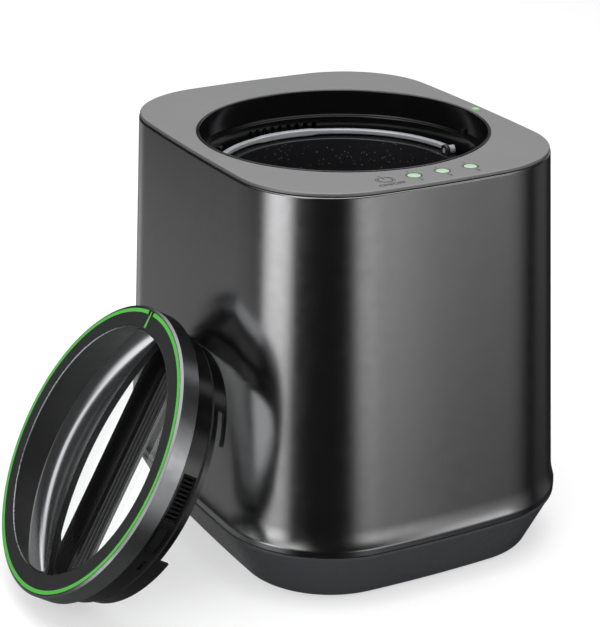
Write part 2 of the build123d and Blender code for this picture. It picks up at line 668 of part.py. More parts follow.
def makeCarbon():
    t = cartWall + 0.1
    r = doorR - (filterHalfW - cartX) - t
    return plaqueY(cartX - t, cartZ0 + t, cartZ1 - t, r, filterY0 + t, filterY1 - t)


# ---------------------------------------------------------------- electrics
def makeControlBoard():
    board = box(-60, 60, buttonY - 13, buttonY + 11, boardTop - 1.6, boardTop)
    for x in buttonXs():
        board += box(x - 3, x + 3, buttonY - 3, buttonY + 3, boardTop - 0.01, boardTop + 3.4)
        board += disc(1.7, boardTop + 3, boardTop + 4, x, buttonY)
        board += box(x - 1, x + 1, lampY - 1, lampY + 1, boardTop - 0.01, boardTop + 2)
    board += box(-12, 12, buttonY - 12.5, buttonY - 8.5, boardTop - 5, boardTop - 1.5)
    return board + box(20, 30, buttonY - 6, buttonY + 4, boardTop - 3, boardTop - 1.5)


def makePowerBoard():
    z, y = boardZ + 1.6, boardY
    board = box(-30, 70, y, y + 66, boardZ, z)
    board += box(30, 62, y + 24, y + 54, z - 0.01, z + 26)
    board += disc(8, z - 0.01, z + 24, 5, y + 48) + disc(8, z - 0.01, z + 24, -13, y + 48)
    board += box(-24, -4, y + 12, y + 26, z - 0.01, z + 15)
    for i in range(5):
        board += box(8 + 4 * i, 9.4 + 4 * i, y + 22, y + 36, z - 0.01, z + 18)
    board += box(8, 25.4, y + 22, y + 23.4, z - 0.01, z + 18)
    return board + box(-12, 12, y + 2, y + 10, z - 0.01, ribbonZ)


ribbonZ = 21.0
ribbonY = buttonY - 11.6


def makeRibbon():
    y = ribbonY
    cable = box(-11, 11, y - 0.4, y + 0.4, ribbonZ + 0.4, boardTop - 5)
    return cable + box(-11, 11, y - 0.4, boardY + 9, ribbonZ, ribbonZ + 0.8)


# Straight runs joined by tangent arcs, each as large as its two runs allow.
def leadPath(points):
    runs = [Vector(*b) - Vector(*a) for a, b in zip(points, points[1:])]
    radii = [0.45 * min(a.length, b.length) / math.tan(math.radians(a.get_angle(b)) / 2)
             for a, b in zip(runs, runs[1:])]
    return FilletPolyline(*points, radius=radii)


leadR = 2.2


def makeLeads():
    leads = []
    for lift in (0, 7):
        z = inletZ - 3.5 + lift
        side = topHalfW - 43.5
        path = leadPath([(14, inletBack - 0.05, z), (14, inletBack - 12, z),
                         (48, inletBack - 28, inletZ - 15 + lift),
                         (side, topHalfD - 86.5, 36 + lift), (side + 9, 8, 26 + lift),
                         (side - 2, boardY + 84, 28 + lift), (54 - 2 * lift, boardY + 60, 26)])
        leads.append(sweep(Plane(path @ 0, z_dir=path % 0) * Circle(leadR), path))
    return Compound(children=leads)


def makeInlet():
    h = inletHalfH - 0.3
    body = plaqueY(inletHalfW - 0.3, inletZ - h, inletZ + h, 2.7, inletBack, inletFace)
    body -= plaqueY(12.2, inletZ - 8.2, inletZ + 8.2, 2.5, inletFace - socketDeep, inletFace + 1)
    for pin in inletPins():
        body -= pin
    return body


def inletPins():
    y = inletFace - socketDeep
    return [box(x - 1, x + 1, y - 2, y + 13, inletZ + dz - 2, inletZ + dz + 2)
            for x, dz in ((-7, -2), (0, 2), (7, -2))]


def makeLidSwitch():
    x0 = ledgeR + neckWall + 0.4
    z1 = ledgeZ - ledgeT - 3.0
    switch = box(x0, x0 + 11.5, wellY - 9, wellY + 9, z1 - 12, z1)
    return switch + box(x0 + 3, x0 + 4, wellY - 7, wellY + 7, z1 - 15, z1 - 11)


def makeLidPin():
    return disc(lidPinR, ledgeZ - ledgeT - 0.3, ledgeZ + 4.2, lidPinX, wellY)


flange = 1.2                           # reach of a button's flange under the panel


def makeButton(x, r):
    top = panelZ - 0.3
    button = disc(r, top - 3, bodyH + 0.2, x, buttonY) + disc(r + flange, top - 2.4, top, x, buttonY)
    return button + disc(1.6, boardTop + 4.05 + pressTravel, top - 2, x, buttonY)


signR = 5.95


def glyphSolid(z0, z1, x):
    arc = Circle(signR) - Circle(signR - 0.65) - Pos(0, signR) * Rectangle(4.6, 5)
    return put(extrude(arc, z1 - z0) + box(-0.36, 0.36, 1.6, signR + 0.8, 0, z1 - z0), x, buttonY, z0)


# ---------------------------------------------------------------- lid, in its own frame: z out of the top
ringOut, ringDeep = lidR - 2.5, 0.5
ringIn = ringOut - 2.6
tickIn, tickWide, tickTip = recessR + 1.8, 1.7, 0.5   # the pointer tapers outwards
ringGapA = 2.1                         # half gap of the green ring at the pointer, degrees
windowT, windowTop = 2.3, -(recessDeep + 0.1)
barTop = -28.2
ventAngles, ventHalfA, ventTop, ventDepth = (-88.5, 91.5), 9.5, -20.6, 1.7
ventSlots, ventPitch = 10, 1.8
rimChamfer = 1.5
windowA = 53.0                         # angle of each gap in the skirt that lets a stud in


def makeLidRim():
    pts = [(recessR + 0.6, 0), (lidR - rimChamfer, 0), (lidR, -rimChamfer), (lidR, -lidBandH),
           (collarR + 0.1, -lidBandH),
           (collarR + 0.1, -lidBandH + 2), (lidR - 2.5, -lidBandH + 2), (lidR - 2.5, -3),
           (recessR + 2.4, -3), (recessR + 1.8, -recessDeep), (recessR - 0.6, -recessDeep),
           (recessR, -0.6)]
    rim = turned(pts)
    rim -= ring(ringOut, ringIn, -ringDeep, 1)
    return rim - tickSolid(-ringDeep, 1)


def tickSolid(z0, z1):
    pts = [(tickIn, -tickWide), (ringOut, -tickTip), (ringOut, tickTip), (tickIn, tickWide)]
    return put(extrude(make_face(Polyline(pts, close=True)), z1 - z0), 0, 0, z0)


def makeLidMarks():
    band = ring(ringOut, ringIn, -ringDeep, 0.05) - sector(-ringGapA, ringGapA, 130, -5, 5)
    return Compound(children=[band, tickSolid(-ringDeep, 0.05)])


# Black filler either side of the pointer, level with the groove.
def makeMarkBed():
    gap = ring(ringOut, ringIn, -ringDeep, -0.1) & sector(-ringGapA, ringGapA, 130, -5, 5)
    return gap - tickSolid(-5, 5)


def makeCollar():
    step, low = -collarDeep, -skirtDeep
    w = 2.4
    under = windowTop - windowT - 0.1
    pts = [(collarR, -3.2), (collarR, step), (skirtR, step), (skirtR, low), (skirtR - w, low),
           (skirtR - w, step - 2.6), (lidScrewR - 4, step - 2.6), (lidScrewR - 4, under),
           (recessR + 2.1, under), (recessR + 2.1, -recessDeep), (collarR - w, -recessDeep),
           (collarR - w, -3.2)]
    collar = turned(pts)
    outside = collarR + 20
    for a in ventAngles:
        z0, z1 = step + 1.0, ventTop
        collar -= (sector(a - ventHalfA, a + ventHalfA, outside, z0, z1)
                   & ring(outside, collarR - ventDepth, z0, z1))
        for i in range(ventSlots):
            cut = box(collarR - 6, collarR + 2, -1.0, 1.0, z0 + 0.8, z1 - 0.8)
            collar -= Rot(0, 0, a + ventPitch * (i - (ventSlots - 1) / 2)) * cut
        z0, z1 = step + 3, step + 11            # shallow panel beside the vent, and a small slot beyond it
        collar -= sector(a - 23.5, a - 12.5, outside, z0, z1) & ring(outside, collarR - 1.0, z0, z1)
        collar -= (sector(a - 33.1, a - 27.9, outside, z0 + 0.5, z0 + 3.5)
                   & ring(outside, collarR - 1.2, z0, z1))
    up = lipTop + lidBandH
    s0, s1 = ledgeZ - studDrop - studR - freeClear - up, ledgeZ - studDrop + studR + freeClear - up
    for a in studAngles:
        enter = a - lockTurn + 2
        collar -= (sector(enter - windowA, enter, outside, low - 1, s1)
                   & ring(outside, skirtR - 4, low - 2, s1))
        collar -= sector(enter - 1, a + 2, outside, s0, s1) & ring(outside, skirtR - 4, s0, s1)
    for a in (20, 160, 200, 340):
        collar -= put(disc(1.4, -60, windowTop - windowT - 0.2), *polar(lidScrewR, a))
    return collar


def makeWindow():
    return disc(recessR + 1.7, windowTop - windowT, windowTop)


def makeCrossbar():
    bar = box(-120, 120, -crossbarHalfW, crossbarHalfW, -recessDeep, barTop)
    for i in range(5):
        v = 10.6 + 3.3 * i
        bar += box(-120, 120, v - 0.8, v + 0.8, barTop - 0.1, barTop + 0.9)
    for i in range(4):
        v = -8.0 - 5.0 * i
        bar += box(-120, 120, v - 1.3, v + 1.3, barTop - 0.1, barTop + 0.9)
    return bar & disc(recessR - 0.8, -60, 10)


handleEndTop, handleEndLow, handleLow, handleEndHalfW = -1.0, -12.0, 3.0, 16.0
partingUp, partingGap = 5.0, 0.4


def arch(lo, hi, loEnd, hiEnd):
    e = recessR
    face = make_face(Wire([ThreePointArc((-e, hiEnd), (0, hi), (e, hiEnd)), Line((e, hiEnd), (e, loEnd)),
                           ThreePointArc((e, loEnd), (0, lo), (-e, loEnd)), Line((-e, loEnd), (-e, hiEnd))]))
    return Rot(90, 0, 0) * extrude(face, 40, both=True)


def handleSolid():
    e = recessR
    body = arch(handleLow, handleRise, handleEndLow, handleEndTop)
    plan = make_face(Wire([ThreePointArc((-e, handleEndHalfW), (0, handleHalfW), (e, handleEndHalfW)),
                           Line((e, handleEndHalfW), (e, -handleEndHalfW)),
                           ThreePointArc((e, -handleEndHalfW), (0, -handleHalfW), (-e, -handleEndHalfW)),
                           Line((-e, -handleEndHalfW), (-e, handleEndHalfW))]))
    body &= put(extrude(plan, 100), 0, 0, -50)
    sag = handleRise - handleEndTop
    archR = (e * e + sag * sag) / (2 * sag)
    crown = 23.0
    top = archR - (crown - math.sqrt(crown ** 2 - 18 ** 2))
    face = make_face(Wire([Line((120, -18), (top, -18)), ThreePointArc((top, -18), (archR, 0), (top, 18)),
                           Line((top, 18), (120, 18)), Line((120, 18), (120, -18))]))
    barrel = revolve(Plane.XY * face, Axis.Y)
    body &= put(barrel, 0, 0, handleRise - archR)
    return body & disc(recessR - 0.35, -60, 80)


def makeHandleCover():
    up = partingUp + partingGap
    return handleSolid() & arch(handleLow + up, 90, handleEndLow + up, 70)


def makeHandleBase():
    return handleSolid() & arch(-90, handleLow + partingUp, -70, handleEndLow + partingUp)


def makeLidScrews():
    z = -collarDeep - 2.6
    screw = disc(2.6, z - 1.6, z) + disc(1.4, z - 0.1, windowTop - windowT - 0.2)
    return Compound(children=[put(screw, *polar(lidScrewR, a)) for a in (20, 160, 200, 340)])


def makeSeal():
    top = -collarDeep - 0.2
    low = top - 2.4
    return turned([(skirtR + 0.3, top), (collarR - 0.8, top), (collarR - 1.2, low), (skirtR + 0.3, low)])


# Where the lid leans: its lowest edge on the floor and its near edge just off the shell's left face.
def lidPlace():
    tilt, yaw = math.radians(lidTilt), math.radians(lidYaw)
    circles = [(lidR, -rimChamfer), (lidR, -lidBandH), (collarR, -collarDeep), (skirtR, -skirtDeep)]
    cz = max(r * math.sin(tilt) - h * math.cos(tilt) for r, h in circles)
    best = 1e9
    for r, h in circles:
        for i in range(-60, 61):
            t = math.radians(i)
            u, v = r * math.cos(t), r * math.sin(t)
            x, y, z = u * math.cos(tilt) - h * math.sin(tilt), v, cz + u * math.sin(tilt) + h * math.cos(tilt)
            wx, wy = x * math.cos(yaw) - y * math.sin(yaw), x * math.sin(yaw) + y * math.cos(yaw) + lidY
            if z > seamZ + flareH:
                wall = topHalfW - sideBow + math.sqrt((sideBow + growAt(z)) ** 2 - wy * wy)
                best = min(best, -wall - lidGap - wx)
    return Pos(best, lidY, cz) * Rot(0, 0, lidYaw) * Rot(0, -lidTilt, 0) * Rot(0, 0, lidSpin)


# ---------------------------------------------------------------- assembly and export
def main():
    xs = buttonXs()
    nodes = {
        "outer_shell": makeShell(), "top_panel": makePanel(), "button_rings": makeRings(),
        "indicator_lamps": makeLamps(), "panel_mark": markSolid(bodyH - inlayT, bodyH + 0.05),
        "base_tray": makeBase(), "rubber_feet": makeFeet(), "case_screws": makeScrews(),
        "neck_ring": makeNeck(), "bin_well": makeWell(), "chassis_deck": makeDeck(),
        "heater_plate": makeHeater(), "heater_coil": makeCoil(),
        "gear_case": makeGearCase(), "gear_cover": makeGearCover(), "shaft_bearings": makeBearings(),
        "idler_pin": makeIdlerPin(), "drive_motor": makeMotor(),
        "output_shaft": makeOutputShaft(), "output_gear": makeOutputGear(), "drive_coupler": makeCoupler(),
        "idler_gear": makeIdlerGear(), "motor_pinion": makeMotorPinion(),
        "air_duct": makeDuct(), "blower_housing": makeBlower(), "fan_impeller": makeImpeller(),
        "fan_motor": makeFanMotor(), "filter_bay": makeFilterBay(), "filter_cover": makeFilterCover(),
        "filter_cartridge": makeCartridge(), "carbon_core": makeCarbon(),
        "control_board": makeControlBoard(), "power_board": makePowerBoard(), "ribbon_cable": makeRibbon(),
        "mains_leads": makeLeads(), "power_inlet": makeInlet(), "inlet_pins": Compound(children=inletPins()),
        "lid_switch": makeLidSwitch(), "lid_switch_pin": makeLidPin(),
        "power_button": makeButton(xs[0], powerR) - glyphSolid(bodyH - 0.2, bodyH + 1, xs[0]),
        "power_glyph": glyphSolid(bodyH - 0.2, bodyH + 0.22, xs[0]),
        "mode_button_1": makeButton(xs[1], buttonR), "mode_button_2": makeButton(xs[2], buttonR),
        "mode_button_3": makeButton(xs[3], buttonR),
        "bucket_shell": makeBucket(), "bucket_breakers": makeBreakers(), "bucket_bushing": makeBushing(),
        "agitator": makeAgitator(), "bucket_bail": makeBail(),
    }
    lid = {
        "lid_rim": makeLidRim(), "lid_marks": makeLidMarks(), "lid_mark_bed": makeMarkBed(),
        "lid_collar": makeCollar(), "lid_window": makeWindow(), "lid_crossbar": makeCrossbar(),
        "handle_cover": makeHandleCover(), "handle_base": makeHandleBase(), "lid_screws": makeLidScrews(),
        "lid_seal": makeSeal(),
    }
    place = lidPlace()
    nodes.update({name: place * shape for name, shape in lid.items()})
    boxes = [n.bounding_box() for n in nodes.values()]
    midX = (min(b.min.X for b in boxes) + max(b.max.X for b in boxes)) / 2
    midY = (min(b.min.Y for b in boxes) + max(b.max.Y for b in boxes)) / 2
    os.makedirs("parts", exist_ok=True)
    for name, shape in nodes.items():
        export_step(Pos(-midX, -midY, 0) * shape, "parts/" + name + ".step")
    print("nodes", len(nodes), "moved by", round(-midX, 4), round(-midY, 4), "lid centre", place.position)


main()
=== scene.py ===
import bpy
import bmesh
import json
import math
from mathutils import Matrix, Vector


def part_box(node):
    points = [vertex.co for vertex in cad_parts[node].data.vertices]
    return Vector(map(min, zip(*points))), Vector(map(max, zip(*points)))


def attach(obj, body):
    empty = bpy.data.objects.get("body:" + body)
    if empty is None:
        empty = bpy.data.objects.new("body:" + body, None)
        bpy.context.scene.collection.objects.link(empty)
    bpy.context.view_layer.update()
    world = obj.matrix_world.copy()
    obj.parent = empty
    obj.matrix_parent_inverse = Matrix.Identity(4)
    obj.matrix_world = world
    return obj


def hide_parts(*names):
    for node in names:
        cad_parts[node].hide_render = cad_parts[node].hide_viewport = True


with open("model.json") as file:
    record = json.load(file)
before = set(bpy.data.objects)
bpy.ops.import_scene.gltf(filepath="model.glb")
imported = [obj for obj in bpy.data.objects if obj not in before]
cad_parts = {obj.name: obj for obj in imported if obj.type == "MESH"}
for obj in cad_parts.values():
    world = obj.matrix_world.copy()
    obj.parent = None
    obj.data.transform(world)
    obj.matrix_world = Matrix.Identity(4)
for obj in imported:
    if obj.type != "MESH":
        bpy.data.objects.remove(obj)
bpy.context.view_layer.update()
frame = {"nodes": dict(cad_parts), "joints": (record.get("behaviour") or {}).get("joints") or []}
mm = 0.001
print("frame loaded, nodes:", len(frame["nodes"]))


# Where things are: the housing's, the bin's and the lid's own millimetre frames.
wellLow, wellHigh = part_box("bin_well")
shellLow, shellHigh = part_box("outer_shell")
axisX = (shellLow.x + shellHigh.x) / 2
axisY = (shellLow.y + shellHigh.y) / 2
binY = ((wellLow.y + wellHigh.y) / 2 - axisY) / mm    # the bin sits a little ahead of the housing's centre
housingPlace = Matrix.Translation((axisX, axisY, 0)) @ Matrix.Scale(mm, 4)
binPlace = housingPlace @ Matrix.Translation((0, binY, 0))

lidSpin = 7.2    # degrees from straight uphill to the handle's axis
lidJoint = next(j for j in frame["joints"] if j["name"] == "lid_turn")
lidUp = Vector(lidJoint["axis"]).normalized()
uphill = math.atan2(-lidUp.y, -lidUp.x)
lidPlace = (Matrix.Translation(lidJoint["pos_m"]) @ Matrix.Rotation(uphill, 4, "Z")
            @ Matrix.Rotation(-math.acos(lidUp.z), 4, "Y") @ Matrix.Rotation(math.radians(lidSpin), 4, "Z")
            @ Matrix.Scale(mm, 4))
onHousing, inBin, inBucket = (housingPlace, "housing"), (binPlace, "housing"), (binPlace, "bucket")
onLid = (lidPlace, "lid")


# Shapes: every function gives (vertices, faces) in millimetres of one of those frames.
def gridMesh(rings, closeRing=True, closeRows=False):
    count = len(rings[0])
    verts = [p for ring in rings for p in ring]
    faces = []
    rows = len(rings) if closeRows else len(rings) - 1
    columns = count if closeRing else count - 1
    for i in range(rows):
        a, b = i * count, ((i + 1) % len(rings)) * count
        for j in range(columns):
            k = (j + 1) % count
            faces.append((a + j, a + k, b + k, b + j))
    return verts, faces


def capped(rings):    # a tube of rings closed by a face at each end
    verts, faces = gridMesh(rings)
    count = len(rings[0])
    faces.append(tuple(reversed(range(count))))
    faces.append(tuple(len(verts) - count + j for j in range(count)))
    return verts, faces


# Corners (a, b, radius) become arcs and (a, b) stays sharp; a support point stands each side of an arc so that
# flats shade flat.
def rounded(corners, closed=True, support=0.35, arcSteps=0):
    out = []
    n = len(corners)
    for i, (a, b, *radius) in enumerate(corners):
        r = radius[0] if radius else 0
        if r <= 0 or (not closed and i in (0, n - 1)):
            out.append((a, b))
            continue
        p = Vector((a, b))
        back = Vector(corners[i - 1][:2]) - p
        on = Vector(corners[(i + 1) % n][:2]) - p
        turn = back.angle(on)
        if turn > math.radians(178):    # as good as straight, so there is nothing to round
            out += [(a, b)] * (arcSteps + 3 if arcSteps else 1)
            continue
        reach = min(r / math.tan(turn / 2), 0.48 * back.length, 0.48 * on.length)
        r = reach * math.tan(turn / 2)
        back.normalize()
        on.normalize()
        centre = p + (back + on).normalized() * (r / math.sin(turn / 2))
        start, end = p + back * reach, p + on * reach
        a0 = math.atan2(start.y - centre.y, start.x - centre.x)
        sweep = math.atan2(end.y - centre.y, end.x - centre.x) - a0
        sweep = (sweep + math.pi) % (2 * math.pi) - math.pi
        steps = arcSteps or max(3, int(abs(math.degrees(sweep)) / 15))
        out.append(tuple(start + back * support * 0.5))
        for k in range(steps + 1):
            t = a0 + sweep * k / steps
            out.append((centre.x + r * math.cos(t), centre.y + r * math.sin(t)))
        out.append(tuple(end + on * support * 0.5))
    return out


# A closed profile of (radius, height) points turned about the axis, all round or between two angles.
def turned(profile, start=0.0, stop=360.0, steps=144):
    whole = stop - start >= 359.9
    rings = []
    for i in range(steps if whole else steps + 1):
        t = math.radians(start + (stop - start) * i / steps)
        rings.append([(r * math.cos(t), r * math.sin(t), h) for r, h in profile])
    if whole:
        return gridMesh(rings, True, True)
    return capped(rings)


def lathe(corners, support, steps):    # a rounded profile turned all round
    return turned(rounded(corners, support=support), steps=steps)


def prism(outline, low, high):    # an (x, y) outline drawn out along z
    return capped([[(x, y, z) for x, y in outline] for z in (low, high)])


def prismX(outline, x0, x1):    # a (y, z) outline drawn out along x
    return capped([[(x, y, z) for y, z in outline] for x in (x0, x1)])


def prismY(outline, y0, y1):    # an (x, z) outline drawn out along y
    return capped([[(x, y, z) for x, z in outline] for y in (y0, y1)])


def block(x0, x1, y0, y1, z0, z1):
    return prism([(x0, y0), (x1, y0), (x1, y1), (x0, y1)], z0, z1)


def circle(r, x=0.0, y=0.0, steps=48):
    return [(x + r * math.cos(2 * math.pi * i / steps), y + r * math.sin(2 * math.pi * i / steps))
            for i in range(steps)]


def roundRect(halfW, halfH, r, x=0.0, y=0.0):
    ends = [(halfW, -halfH, r), (halfW, halfH, r), (-halfW, halfH, r), (-halfW, -halfH, r)]
    return [(x + px, y + py) for px, py in rounded(ends, support=0)]


def moved(shape, matrix):
    return [tuple(matrix @ Vector(v)) for v in shape[0]], shape[1]


def shifted(shape, x, y, z=0.0):
    return moved(shape, Matrix.Translation((x, y, z)))


def turnedAbout(shape, degrees):
    return moved(shape, Matrix.Rotation(math.radians(degrees), 4, "Z"))


def joined(shapes):
    verts, faces = [], []
    for v, f in shapes:
        faces += [tuple(k + len(verts) for k in face) for face in f]
        verts += v
    return verts, faces


def polar(r, degrees, x=0.0, y=0.0):
    return x + r * math.cos(math.radians(degrees)), y + r * math.sin(math.radians(degrees))


# Pieces.
def newObject(name, data):
    obj = bpy.data.objects.new(name, data)
    bpy.context.scene.collection.objects.link(obj)
    return obj


def meshFrom(name, shape, place):
    mesh = bpy.data.meshes.new(name)
    mesh.from_pydata([place @ Vector(v) for v in shape[0]], [], shape[1])
    work = bmesh.new()
    work.from_mesh(mesh)
    bmesh.ops.remove_doubles(work, verts=work.verts, dist=2e-6)
    bmesh.ops.dissolve_degenerate(work, edges=work.edges, dist=1e-7)
    bmesh.ops.recalc_face_normals(work, faces=work.faces)
    work.to_mesh(mesh)
    work.free()
    return mesh


def bakeModifiers(obj):
    view = bpy.context.evaluated_depsgraph_get()
    mesh = bpy.data.meshes.new_from_object(obj.evaluated_get(view))
    obj.modifiers.clear()
    obj.data = mesh


def bevelled(obj, width, segments):
    bevel = obj.modifiers.new("edges", "BEVEL")
    bevel.width = width * mm
    bevel.segments = segments
    bevel.limit_method = "ANGLE"
    bevel.angle_limit = math.radians(40)    # only true edges, not the facets of a curve
    bakeModifiers(obj)


def cutOut(obj, cutters, place, operation="DIFFERENCE"):
    tool = newObject("cutter", meshFrom("cutter", joined(cutters), place))
    cut = obj.modifiers.new("cut", "BOOLEAN")
    cut.operation = operation
    cut.solver = "EXACT"
    cut.use_self = len(cutters) > 1
    cut.object = tool
    bakeModifiers(obj)
    bpy.data.objects.remove(tool)


# One piece of the scene. The home is the millimetre frame that it is drawn in and the body that it rides on.
def piece(name, shape, home, finishKey, replaced=(), cutters=(), within=(), edge=0.0, segments=3,
          smooth=35):
    place, body = home
    obj = newObject(name, meshFrom(name, shape, place))
    if within:
        cutOut(obj, within, place, "INTERSECT")
    if cutters:
        cutOut(obj, cutters, place)
    if edge:
        bevelled(obj, edge, segments)
    obj.data.materials.clear()
    obj.data.materials.append(finish[finishKey])
    for polygon in obj.data.polygons:
        polygon.material_index = 0
    obj.data.shade_smooth()
    obj.data.set_sharp_from_angle(angle=math.radians(smooth))
    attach(obj, body)
    if replaced:
        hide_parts(*replaced)
    return obj


# Materials: sRGB colours as six hex digits, sizes of patches and grains in millimetres.
def toLinear(hexCode):
    out = []
    for i in (0, 2, 4):
        c = int(hexCode[i:i + 2], 16) / 255
        out.append(c / 12.92 if c <= 0.04045 else ((c + 0.055) / 1.055) ** 2.4)
    return (*out, 1.0)


def addNode(tree, kind, values=None, links=None):
    node = tree.nodes.new(kind)
    for key, value in (values or {}).items():
        if isinstance(key, str) and hasattr(node, key):
            setattr(node, key, value)
        else:
            node.inputs[key].default_value = value
    for key, (source, output) in (links or {}).items():
        tree.links.new(source.outputs[output], node.inputs[key])
    return node


def startMaterial(name, colour, values):
    material = bpy.data.materials.new(name)
    material.use_nodes = True
    tree = material.node_tree
    shader = tree.nodes["Principled BSDF"]
    shader.inputs["Base Color"].default_value = toLinear(colour)
    for key, value in values.items():
        shader.inputs[key].default_value = value
    return material, tree, shader, addNode(tree, "ShaderNodeTexCoord")


def noise(tree, coords, size, detail=2.0):
    return addNode(tree, "ShaderNodeTexNoise", {"Scale": 1 / (size * mm), "Detail": detail},
                   {"Vector": (coords, "Object")})


def twoTones(tree, shader, factor, output, dark, light):
    mix = addNode(tree, "ShaderNodeMix", {"data_type": "RGBA", 6: toLinear(dark), 7: toLinear(light)},
                  {0: (factor, output)})
    tree.links.new(mix.outputs[2], shader.inputs["Base Color"])
    return mix


def grainBump(tree, shader, coords, size, depth, strength):
    bump = addNode(tree, "ShaderNodeBump", {"Strength": strength, "Distance": depth * mm},
                   {"Height": (noise(tree, coords, size), 0)})
    tree.links.new(bump.outputs[0], shader.inputs["Normal"])


def makeFinish(name, colour, values, tones, spread, grain):
    material, tree, shader, coords = startMaterial(name, colour, values)
    if tones:
        dark, light, size = tones
        mix = twoTones(tree, shader, noise(tree, coords, size), 0, dark, light)
        if "Emission Strength" in values:
            tree.links.new(mix.outputs[2], shader.inputs["Emission Color"])
    if spread:
        low, high, size = spread
        wander = addNode(tree, "ShaderNodeMapRange",
                         {"From Min": 0.3, "From Max": 0.7, "To Min": low, "To Max": high},
                         {"Value": (noise(tree, coords, size, 3.0), 0)})
        tree.links.new(wander.outputs[0], shader.inputs["Roughness"])
    if grain:
        grainBump(tree, shader, coords, *grain)
    return material


